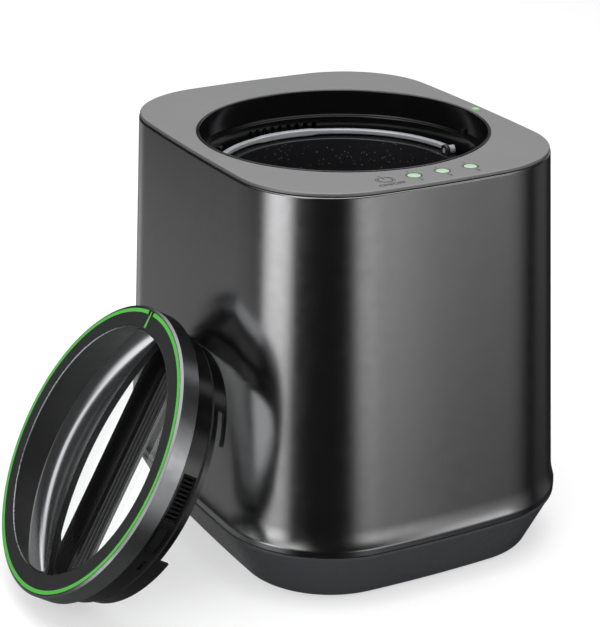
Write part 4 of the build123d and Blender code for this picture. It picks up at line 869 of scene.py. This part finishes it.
def makeMixer():
    z = mixer["base"]
    foot = pail["bottom"] - 1.2
    core = lathe([(0, foot), (pail["journal"], foot, 0.5), (pail["journal"], z, 0.2), (mixer["hub"], z, 1.2),
                  (mixer["hub"], z + 10, 2.5), (14, z + 17, 4.0), (8, z + 30, 5.0), (5, z + 36, 2.0),
                  (0, z + 37)], 0.4, 72)
    piece("stirrer_hub", core, (binPlace, "mixer"), "cast", ["agitator"],
          [prism(hexagon(mixer["hexFlat"]), pail["bottom"] - 5, mixer["hexTop"])])
    arms = []
    for angle, up, tip in mixer["arms"]:
        rings = []
        for k in range(13):
            share = k / 12
            x = mixer["root"] + (mixer["reach"] - mixer["root"]) * share
            halfW, halfH = 6.5 - 3.0 * share, 5.0 - 1.5 * share    # the arm tapers and sinks towards its tip
            lift = 6.0 - 2.0 * share
            shrink = 1.0 if k < 12 else 0.82
            rings.append([(x, y, z + up + lift + h)
                          for y, h in roundRect(halfW * shrink, halfH * shrink, 2.2 - 0.9 * share)])
        arms.append(turnedAbout(capped(rings), angle))
        if tip:
            t = mixer["tipHalf"]
            outline = roundRect((mixer["reach"] - mixer["tipFrom"]) / 2 - 0.2, t, 2.2)
            middle = (mixer["reach"] + mixer["tipFrom"]) / 2
            fin = [[(middle + x * k, y * k, z + up + h) for x, y in outline]
                   for h, k in ((0.7, 0.85), (1.6, 1.0), (tip - 1.6, 0.95), (tip - 0.5, 0.75))]
            arms.append(turnedAbout(capped(fin), angle))
    piece("stirrer_arms", joined(arms), (binPlace, "mixer"), "cast")


bail = {"inner": 95.6, "outer": 100.4, "thick": 4.0, "gripHalfAngle": 15.0, "gripMore": 0.6, "pin": 2.0,
        "boss": 3.5, "pinReach": 9.4}


def makeBail():
    b = bail
    pivot = pail["top"] + pail["pivotUp"]
    rings = []
    for i in range(97):
        a = 180 * i / 96
        off = abs(a - 90) - b["gripHalfAngle"]
        grown = b["gripMore"] * (1 - min(1.0, max(0.0, off / 2.5 + 0.5)))    # the grip swells over 2.5 degrees
        low, high = -b["thick"] / 2 - grown, b["thick"] / 2 + grown
        inner = b["inner"] - grown
        section = rounded([(inner, low, 1.2), (b["outer"], low, 1.2), (b["outer"], high, 1.2),
                           (inner, high, 1.2)], support=0.1)
        rings.append([(*polar(r, a), pivot + h) for r, h in section])
    parts = [capped(rings)]
    for side in (-1, 1):
        x0, x1 = sorted((side * (b["inner"] + 0.1), side * (b["outer"] - 0.1)))
        parts.append(prismX(circle(b["boss"], 0, pivot, 40), x0, x1))
        x0, x1 = sorted((side * (pail["rim"] - b["pinReach"]), side * (b["inner"] + 1)))
        parts.append(prismX(circle(b["pin"], 0, pivot, 24), x0, x1))
    piece("pail_bail", joined(parts), (binPlace, "bail"), "bail", ["bucket_bail"])


makePail()
makeBreakers()
makeMixer()
makeBail()
print("bucket done")


# The loose lid, in its own frame: z out of its top, x along the handle towards the pointer.
lid = {"recess": 97.0, "recessDeep": 31.0, "plateEdge": 97.5, "ringIn": 109.0, "ringOut": 112.0,
       "ringGap": 2.1, "bandIn": 112.35, "radius": 114.5, "chamfer": 1.5, "bandHeight": 15.3, "collar": 108.2,
       "collarDeep": 33.0, "skirt": 104.0, "skirtDeep": 49.5, "tickIn": 98.8, "tickWide": 1.7, "tickTip": 0.5,
       "windowTop": -31.1, "windowThick": 2.3, "floorBore": 91.0, "wall": 2.4, "screwRing": 95.0,
       "screwAngles": (20, 160, 200, 340), "clear": 130.0}    # clear: outside the lid, where cutters end


def repaint(obj, finishKey, wanted):    # a second finish on the faces whose (radius, height) is wanted
    obj.data.materials.append(finish[finishKey])
    back = lidPlace.inverted()
    for polygon in obj.data.polygons:
        spot = back @ polygon.center
        if wanted(math.hypot(spot.x, spot.y), spot.z):
            polygon.material_index = 1


def makeLidTop():
    d = lid
    plate = lathe([(d["plateEdge"], -1.6), (d["ringIn"] - 0.1, -1.6), (d["ringIn"] - 0.1, 0, 0.25),
                   (d["plateEdge"], 0, 0.12)], 0.1, 256)
    piece("lid_face_plate", plate, onLid, "graphite", ["lid_rim"])
    edge = lathe([(d["recess"], -0.9), (d["plateEdge"] - 0.02, -0.9), (d["plateEdge"] - 0.02, 0.0, 0.02),
                  (d["recess"], 0.0, 0.45)], 0.02, 256)
    piece("lid_recess_edge", edge, onLid, "steel", smooth=60)
    wall = lathe([(d["recess"] - 0.6, -d["recessDeep"]), (d["recess"] + 0.05, -0.92),
                  (d["recess"] + 2.4, -0.92), (d["recess"] + 2.4, -3), (d["recess"] + 1.8, -d["recessDeep"])],
                 0.1, 256)
    piece("lid_recess_wall", wall, onLid, "satin")
    bed = lathe([(d["ringIn"] - 0.12, -1.5), (d["bandIn"], -1.5), (d["bandIn"], -0.12, 0.05),
                 (d["ringIn"] - 0.12, -0.12, 0.05)], 0.02, 256)
    piece("lid_groove_bed", bed, onLid, "satin", ["lid_mark_bed"])


def makeLidBand():
    d = lid
    low = -d["bandHeight"]
    edge, r = d["bandIn"], d["radius"]
    profile = lathe([(edge, -1.5), (edge, 0, 0.08), (edge + 0.35, 0, 0.1), (r, -d["chamfer"], 0.25),
                     (r, low, 0.35), (d["collar"] + 0.1, low, 0.2), (d["collar"] + 0.1, low + 2),
                     (r - 2.5, low + 2), (r - 2.5, -3), (r - 2.5, -1.5)], 0.15, 256)
    band = piece("lid_band", profile, onLid, "band")
    repaint(band, "chamfer", lambda reach, z: z > -d["chamfer"] - 0.12 and reach > edge + 0.2)


def makeLidMarks():
    d, gap = lid, lid["ringGap"]
    ring = rounded([(d["ringIn"], -0.6), (d["ringOut"], -0.6), (d["ringOut"], 0.05, 0.06),
                    (d["ringIn"], 0.05, 0.06)], support=0.02)
    arc = turned(ring, gap, 360 - gap, 320)
    tick = prism([(d["tickIn"], -d["tickWide"]), (d["ringOut"], -d["tickTip"]), (d["ringOut"], d["tickTip"]),
                  (d["tickIn"], d["tickWide"])], -0.4, 0.07)
    piece("lid_green_ring", arc, onLid, "green", ["lid_marks"])
    piece("lid_green_pointer", tick, onLid, "green", edge=0.08)


# Grille, recess and pip: start and end angle, depth, low and high edge, steps.
vents = {"angles": (-88.5, 91.5), "grille": (-9.5, 9.5, 1.7, -32.0, -20.6, 18), "slots": 10, "slotPitch": 1.8,
         "slotHalf": 1.0, "slotEnds": (-31.2, -21.4), "recess": (-23.5, -12.5, 1.0, -30.0, -22.0, 18),
         "pip": (-33.1, -27.9, 1.2, -29.5, -26.5, 6)}
bayonet = {"angles": (-50.0, 130.0), "lockTurn": 15.0, "window": 53.0, "margin": 2.0, "low": -46.6,
           "high": -41.2, "deep": 4.0}


def arcBlock(a0, a1, r0, r1, z0, z1, steps):
    rings = []
    for i in range(steps + 1):
        t = a0 + (a1 - a0) * i / steps
        rings.append([(*polar(r, t), z) for r, z in ((r0, z0), (r1, z0), (r1, z1), (r0, z1))])
    return capped(rings)


def pocket(middle, a0, a1, deep, z0, z1, steps):    # sunk into the collar's outside
    return arcBlock(middle + a0, middle + a1, lid["collar"] - deep, lid["clear"], z0, z1, steps)


def makeCollar():
    d, v, b = lid, vents, bayonet
    r, step, low, w = d["collar"], -d["collarDeep"], -d["skirtDeep"], d["wall"]
    under, inside, shelf = d["windowTop"] - d["windowThick"] - 0.1, d["recess"] + 2.1, step - 2.6
    profile = lathe([(r, -3.2), (r, step, 0.7), (d["skirt"], step, 0.3), (d["skirt"], low, 0.8),
                     (d["skirt"] - w, low, 0.6), (d["skirt"] - w, shelf, 0.5), (d["floorBore"], shelf, 0.5),
                     (d["floorBore"], under, 0.3), (inside, under), (inside, -d["recessDeep"]),
                     (r - w, -d["recessDeep"]), (r - w, -3.2)], 0.25, 256)
    cutters = []
    for middle in v["angles"]:
        cutters.append(pocket(middle, *v["grille"]))
        for i in range(v["slots"]):
            slot = block(r - 6, r + 2, -v["slotHalf"], v["slotHalf"], *v["slotEnds"])
            cutters.append(turnedAbout(slot, middle + v["slotPitch"] * (i - (v["slots"] - 1) / 2)))
        cutters += [pocket(middle, *v["recess"]), pocket(middle, *v["pip"])]
    reach = d["skirt"] - b["deep"]
    for a in b["angles"]:
        enter = a - b["lockTurn"] + b["margin"]
        cutters += [arcBlock(enter - b["window"], enter, reach, d["clear"], low - 1, b["high"], 40),
                    arcBlock(enter - 1, a + b["margin"], reach, d["clear"], b["low"], b["high"], 16)]
    skin = piece("lid_collar_skin", profile, onLid, "gloss", ["lid_collar"], cutters, smooth=40)
    # The vent recess takes the darker coarse black: painted shade in the recess.
    repaint(skin, "deep", lambda reach, z: d["skirt"] + 0.5 < reach < r - 0.5 and z > step + 0.3)


def makeLidInside():
    d = lid
    top, thick = d["windowTop"], d["windowThick"]
    r = d["recess"] + 1.7
    pane = lathe([(0, top - thick), (r, top - thick, 0.3), (r, top, 0.3), (0, top)], 0.2, 192)
    piece("lid_window_pane", pane, onLid, "clear", ["lid_window"])
    sealTop = -d["collarDeep"] - 0.2
    ring = lathe([(d["skirt"] + 0.3, sealTop, 0.4), (d["collar"] - 0.8, sealTop, 0.5),
                  (d["collar"] - 1.2, sealTop - 2.4, 0.9), (d["skirt"] + 0.3, sealTop - 2.4, 0.6)], 0.1, 192)
    piece("lid_seal_ring", ring, (lidPlace, "seal"), "rubber", ["lid_seal"])
    z = -d["collarDeep"] - 2.6
    head = lathe([(0, z), (1.4, z), (2.6, z, 0.1), (2.6, z - 1.2, 0.4), (1.6, z - 1.6, 0.3), (0, z - 1.6)],
                 0.05, 36)
    shank = turned([(0, z - 0.1), (1.4, z - 0.1), (1.4, top - thick - 0.2), (0, top - thick - 0.2)], steps=24)
    long, wide = 1.7, 0.35    # half sizes of the cross in the head
    crosses = [block(-x, x, -y, y, z - 2, z - 0.9) for x, y in ((long, wide), (wide, long))]
    screws, cuts = [], []
    for a in d["screwAngles"]:
        spot = polar(d["screwRing"], a)
        screws += [shifted(head, *spot), shifted(shank, *spot)]
        cuts += [shifted(cross, *spot) for cross in crosses]
    piece("lid_screw_heads", joined(screws), onLid, "steel", ["lid_screws"], cuts)


crossbar = {"halfWidth": 25.0, "top": -28.2, "fine": (0.9, 3.3, 8, 0.8), "broad": (-8.0, -5.0, 4, 1.3),
            "ribHeight": 0.9, "ribEdge": 0.7}    # ribs: middle of the first, pitch, number, half width


def makeCrossbar():
    c = crossbar
    reach = lid["recess"] - 0.8
    section = [(-c["halfWidth"], -lid["recessDeep"]), (c["halfWidth"], -lid["recessDeep"]),
               (c["halfWidth"], c["top"], 1.0)]
    up, edge = c["top"] + c["ribHeight"], c["ribEdge"]
    ribs = [(first + pitch * i, half) for first, pitch, count, half in (c["fine"], c["broad"])
            for i in range(count)]
    for middle, half in sorted(ribs, reverse=True):
        section += [(middle + half + 0.15, c["top"], 0.15), (middle + half - 0.1, up, edge),
                    (middle - half + 0.1, up, edge), (middle - half - 0.15, c["top"], 0.15)]
    section.append((-c["halfWidth"], c["top"], 1.0))
    outline = rounded(section, support=0.1)
    rings = [[((i / 12 - 1) * math.sqrt(reach * reach - v * v), v, h) for v, h in outline] for i in range(25)]
    piece("lid_crossbar_skin", capped(rings), onLid, "coated", ["lid_crossbar"])


handle = {"reach": 97.0, "end": 96.65, "endTop": -1.0, "rise": 25.0, "endLow": -12.0, "low": 3.0,
          "endHalfWidth": 16.0, "halfWidth": 13.5, "parting": 5.0, "gap": 0.4, "crownSteps": 40,
          "fullness": 2.7}


def bow(x, atEnd, atMiddle):    # circular arc through both ends and the middle
    sag = atMiddle - atEnd
    r = (handle["reach"] ** 2 + sag ** 2) / (2 * abs(sag))
    drop = r - math.sqrt(r * r - x * x)
    return atMiddle - math.copysign(drop, sag)


def handleStation(s, upper):
    h = handle
    x = s * h["reach"]
    top, low = bow(x, h["endTop"], h["rise"]), bow(x, h["endLow"], h["low"])
    half = bow(x, h["endHalfWidth"], h["halfWidth"])
    split = low + h["parting"]
    if not upper:
        return rounded([(-half, low, 1.4), (half, low, 1.4), (half, split, 0.3), (-half, split, 0.3)],
                       support=0.15, arcSteps=6)
    floor = split + h["gap"]
    section = [(-half + 0.4, floor), (half - 0.4, floor)]
    for i in range(h["crownSteps"] + 1):    # a superellipse: broad crown, full shoulders, upright sides
        c, d = math.cos(math.pi * i / h["crownSteps"]), math.sin(math.pi * i / h["crownSteps"])
        section.append((half * math.copysign(abs(c) ** (2 / h["fullness"]), c),
                        floor + 0.4 + (top - floor - 0.4) * max(d, 0.0) ** (2 / h["fullness"])))
    return section


def makeHandle():
    for upper, name, node, slotName, finishKey in (
            (True, "lid_handle_cover", "handle_cover", "black_gloss", "handle"),
            (False, "lid_handle_base", "handle_base", "black_plastic", "satin")):
        rings = []
        for i in range(73):
            s = math.sin(math.radians(-90 + 180 * i / 72))    # stations crowd towards the ends
            rings.append([(s * math.sqrt(handle["end"] ** 2 - v * v), v, h)
                          for v, h in handleStation(s, upper)])
        piece(name, capped(rings), onLid, finishKey, [node])


makeLidTop()
makeLidBand()
makeLidMarks()
makeCollar()
makeLidInside()
makeCrossbar()
makeHandle()
print("lid done")


# Finishes of the sealed inner pieces, which keep their own shapes.
innerFinish = {"satin": ("bin_well", "chassis_deck", "gear_case", "gear_cover", "air_duct", "blower_housing",
                         "filter_bay", "lid_switch", "lid_switch_pin", "fan_impeller", "filter_cartridge"),
               "steel": ("case_screws", "heater_coil", "idler_pin", "drive_motor", "fan_motor",
                         "output_shaft", "drive_coupler", "motor_pinion"),
               "nylon": ("output_gear", "idler_gear"), "board": ("control_board", "power_board"),
               "pvc": ("ribbon_cable", "mains_leads"), "cast": ("heater_plate",),
               "brass": ("shaft_bearings",), "carbon": ("carbon_core",)}
for key, nodes in innerFinish.items():
    for node in nodes:
        for material in frame["nodes"][node].material_slots:
            material.link = "OBJECT"
            material.material = finish[key]
print("inner finishes done")


# Studio: white sweep, soft lamps, and upright light panels that only mirror finishes see.
studio = {
    "floorSize": 14.0, "floorTone": 0.92, "floorGlow": 0.55, "white": 1.0, "plainLevel": 0.55,
    "throughPane": 1.18,    # makes up for what the pane reflects
    # Upright panels in three bands: azimuth, half width at full light, half width where the light has faded out
    # (degrees), strength. A reach gives the elevations where its band starts, is full, is still full and ends.
    "panels": ((-177, 2, 22, 3.0), (-78, 2, 20, 0.95), (-62, 4, 44, 0.42), (5, 3, 20, 0.15)),
    "panelReach": (-34.0, -9.0, -8.0, -1.0),
    "leftPanels": ((112, 25, 60, 0.28), (93, 2, 10, 0.3)),
    "leftReach": (-60.0, -30.0, -17.0, -10.5),
    "highPanels": ((-158, 4, 22, 2.0),),
    "highReach": (-7.0, 5.0, 60.0, 75.0),
    # Round lamps: azimuth, elevation, half width at full light, half width where it has faded out, strength.
    "spots": ((-46, 11, 7, 20, 0.7), (-56, 4, 4, 13, 1.6), (34, 16, 4, 15, 0.8), (62, 44, 8, 27, 2.6)),
    "baseLevel": 0.02, "overhead": 2.2, "overheadFrom": 38.0, "overheadFull": 62.0,
    "below": 0.12, "belowFrom": -45.0, "belowFull": -60.0,
}


def mathNode(tree, operation, a, b=None):
    node = addNode(tree, "ShaderNodeMath", {"operation": operation})
    for i, value in enumerate((a, b)):
        if value is None:
            continue
        if isinstance(value, (int, float)):
            node.inputs[i].default_value = value
        else:
            tree.links.new(value, node.inputs[i])
    return node.outputs[0]


def smoothStep(tree, value, dark, light, strength):
    node = addNode(tree, "ShaderNodeMapRange", {"interpolation_type": "SMOOTHSTEP", "From Min": dark,
                                                "From Max": light, "To Min": 0.0, "To Max": strength})
    tree.links.new(value, node.inputs["Value"])
    return node.outputs[0]


# Light that is full within one angle of a direction and gone beyond another.
def towards(tree, source, azimuth, elevation, full, faded, strength):
    level = math.cos(math.radians(elevation))
    aim = (*polar(level, azimuth), math.sin(math.radians(elevation)))
    output = "Generated" if source.bl_idname == "ShaderNodeTexCoord" else 0
    facing = addNode(tree, "ShaderNodeVectorMath", {"operation": "DOT_PRODUCT", 1: aim},
                     {0: (source, output)})
    return smoothStep(tree, facing.outputs["Value"], math.cos(math.radians(faded)),
                      math.cos(math.radians(full)), strength)


def makeWorld():
    world = bpy.data.worlds.new("studio")
    bpy.context.scene.world = world
    world.use_nodes = True
    tree = world.node_tree
    shade = tree.nodes["Background"]
    coords = addNode(tree, "ShaderNodeTexCoord")
    parts = addNode(tree, "ShaderNodeSeparateXYZ", links={0: (coords, "Generated")})
    flat = addNode(tree, "ShaderNodeCombineXYZ", links={0: (parts, 0), 1: (parts, 1)})
    level = addNode(tree, "ShaderNodeVectorMath", {"operation": "NORMALIZE"}, {0: (flat, 0)})
    total = studio["baseLevel"]
    for key, reachKey in (("panels", "panelReach"), ("leftPanels", "leftReach"), ("highPanels", "highReach")):
        lit = 0.0
        for azimuth, full, faded, strength in studio[key]:
            lit = mathNode(tree, "ADD", towards(tree, level, azimuth, 0.0, full, faded, strength), lit)
        start, full, last, end = (math.sin(math.radians(e)) for e in studio[reachKey])
        rising = smoothStep(tree, parts.outputs[2], start, full, 1.0)
        falling = smoothStep(tree, parts.outputs[2], end, last, 1.0)
        lit = mathNode(tree, "MULTIPLY", mathNode(tree, "MULTIPLY", lit, rising), falling)
        total = mathNode(tree, "ADD", lit, total)
    for azimuth, elevation, full, faded, strength in studio["spots"]:
        total = mathNode(tree, "ADD", towards(tree, coords, azimuth, elevation, full, faded, strength), total)
    for key in ("overhead", "below"):
        start, full = (math.sin(math.radians(studio[key + end])) for end in ("From", "Full"))
        mix = addNode(tree, "ShaderNodeMix", {"data_type": "FLOAT", 3: studio[key]})
        tree.links.new(smoothStep(tree, parts.outputs[2], start, full, 1.0), mix.inputs[0])
        tree.links.new(total, mix.inputs[2])
        total = mix.outputs[0]
    path = addNode(tree, "ShaderNodeLightPath")
    mirror = addNode(tree, "ShaderNodeMix", {"data_type": "FLOAT", 2: studio["plainLevel"]},
                     {0: (path, "Is Glossy Ray")})
    tree.links.new(total, mirror.inputs[3])
    backdrop = addNode(tree, "ShaderNodeMix", {"data_type": "FLOAT", 3: studio["white"]},
                       {0: (path, "Is Camera Ray"), 2: (mirror, 0)})
    final = addNode(tree, "ShaderNodeMix", {"data_type": "FLOAT", 3: studio["throughPane"]},
                    {0: (path, "Is Transmission Ray"), 2: (backdrop, 0)})
    tree.links.new(final.outputs[0], shade.inputs["Strength"])
    shade.inputs["Color"].default_value = (1, 1, 1, 1)


def makeFloor():
    half = studio["floorSize"] / 2
    mesh = bpy.data.meshes.new("floor")
    mesh.from_pydata([(-half, -half, 0), (half, -half, 0), (half, half, 0), (-half, half, 0)], [],
                     [(0, 1, 2, 3)])
    floor = newObject("floor", mesh)
    material = bpy.data.materials.new("white_sweep_paper")
    material.use_nodes = True
    tree = material.node_tree
    tree.nodes.remove(tree.nodes["Principled BSDF"])
    path = addNode(tree, "ShaderNodeLightPath")
    facing = addNode(tree, "ShaderNodeNewGeometry")
    paper = addNode(tree, "ShaderNodeBsdfDiffuse", {"Color": (*(studio["floorTone"],) * 3, 1)})
    white = addNode(tree, "ShaderNodeMix", {"data_type": "FLOAT", 2: studio["white"],
                                            3: studio["throughPane"]}, {0: (path, "Is Transmission Ray")})
    glow = addNode(tree, "ShaderNodeEmission", links={"Strength": (white, 0)})
    clear = addNode(tree, "ShaderNodeBsdfTransparent")
    seen = mathNode(tree, "MULTIPLY", path.outputs["Is Camera Ray"], studio["floorGlow"])
    lift = mathNode(tree, "MAXIMUM", seen, path.outputs["Is Transmission Ray"])
    lit = addNode(tree, "ShaderNodeMixShader", links={1: (paper, 0), 2: (glow, 0)})
    tree.links.new(lift, lit.inputs[0])
    hidden = mathNode(tree, "MAXIMUM", path.outputs["Is Glossy Ray"], facing.outputs["Backfacing"])
    keep = mathNode(tree, "MULTIPLY", path.outputs["Is Transmission Ray"],
                    mathNode(tree, "SUBTRACT", 1.0, facing.outputs["Backfacing"]))
    gone = mathNode(tree, "SUBTRACT", hidden, keep)
    out = addNode(tree, "ShaderNodeMixShader", links={1: (lit, 0), 2: (clear, 0)})
    tree.links.new(gone, out.inputs[0])
    tree.links.new(out.outputs[0], tree.nodes["Material Output"].inputs["Surface"])
    mesh.materials.append(material)


# Where each lamp stands (metres from the housing's axis), its size and its power in watts, and where all look.
lampTarget = (0.0, 0.0, 0.16)
lamps = {"overhead_softbox": ((-0.2, -0.2, 2.0), 1.8, 34.0), "left_softbox": ((-1.7, -1.3, 1.3), 1.1, 16.0),
         "right_softbox": ((1.6, -1.4, 1.0), 1.0, 12.0), "rear_softbox": ((0.4, 1.9, 1.2), 1.2, 12.0)}


def makeLamps():
    middle = Vector((axisX, 0, 0))
    for name, (spot, size, watts) in lamps.items():
        light = bpy.data.lights.new(name, "AREA")
        light.shape = "SQUARE"
        light.size = size
        light.energy = watts
        lamp = newObject(name, light)
        lamp.location = Vector(spot) + middle
        lamp.rotation_mode = "QUATERNION"
        lamp.rotation_quaternion = (middle + Vector(lampTarget) - lamp.location).to_track_quat("-Z", "Y")
        lamp.visible_glossy = False


# The camera: millimetres from the housing's axis on the floor, degrees down and round, then its lens.
camera = {"spot": (-712.0, -1281.5, 742.1), "down": 20.82, "turn": -27.885, "lens": 113.22, "sensor": 36.0,
          "shiftY": -0.0354, "nearest": 0.05, "farthest": 60.0}


def makeCamera():
    data = bpy.data.cameras.new("camera")
    data.lens = camera["lens"]
    data.sensor_width = camera["sensor"]
    data.shift_y = camera["shiftY"]
    data.clip_start, data.clip_end = camera["nearest"], camera["farthest"]
    eye = newObject("camera", data)
    eye.location = housingPlace @ Vector(camera["spot"])
    eye.rotation_euler = (math.radians(90 - camera["down"]), 0, math.radians(camera["turn"]))
    bpy.context.scene.camera = eye


makeWorld()
makeFloor()
makeLamps()
makeCamera()
bpy.context.scene.view_settings.view_transform = "Standard"
print("studio done")
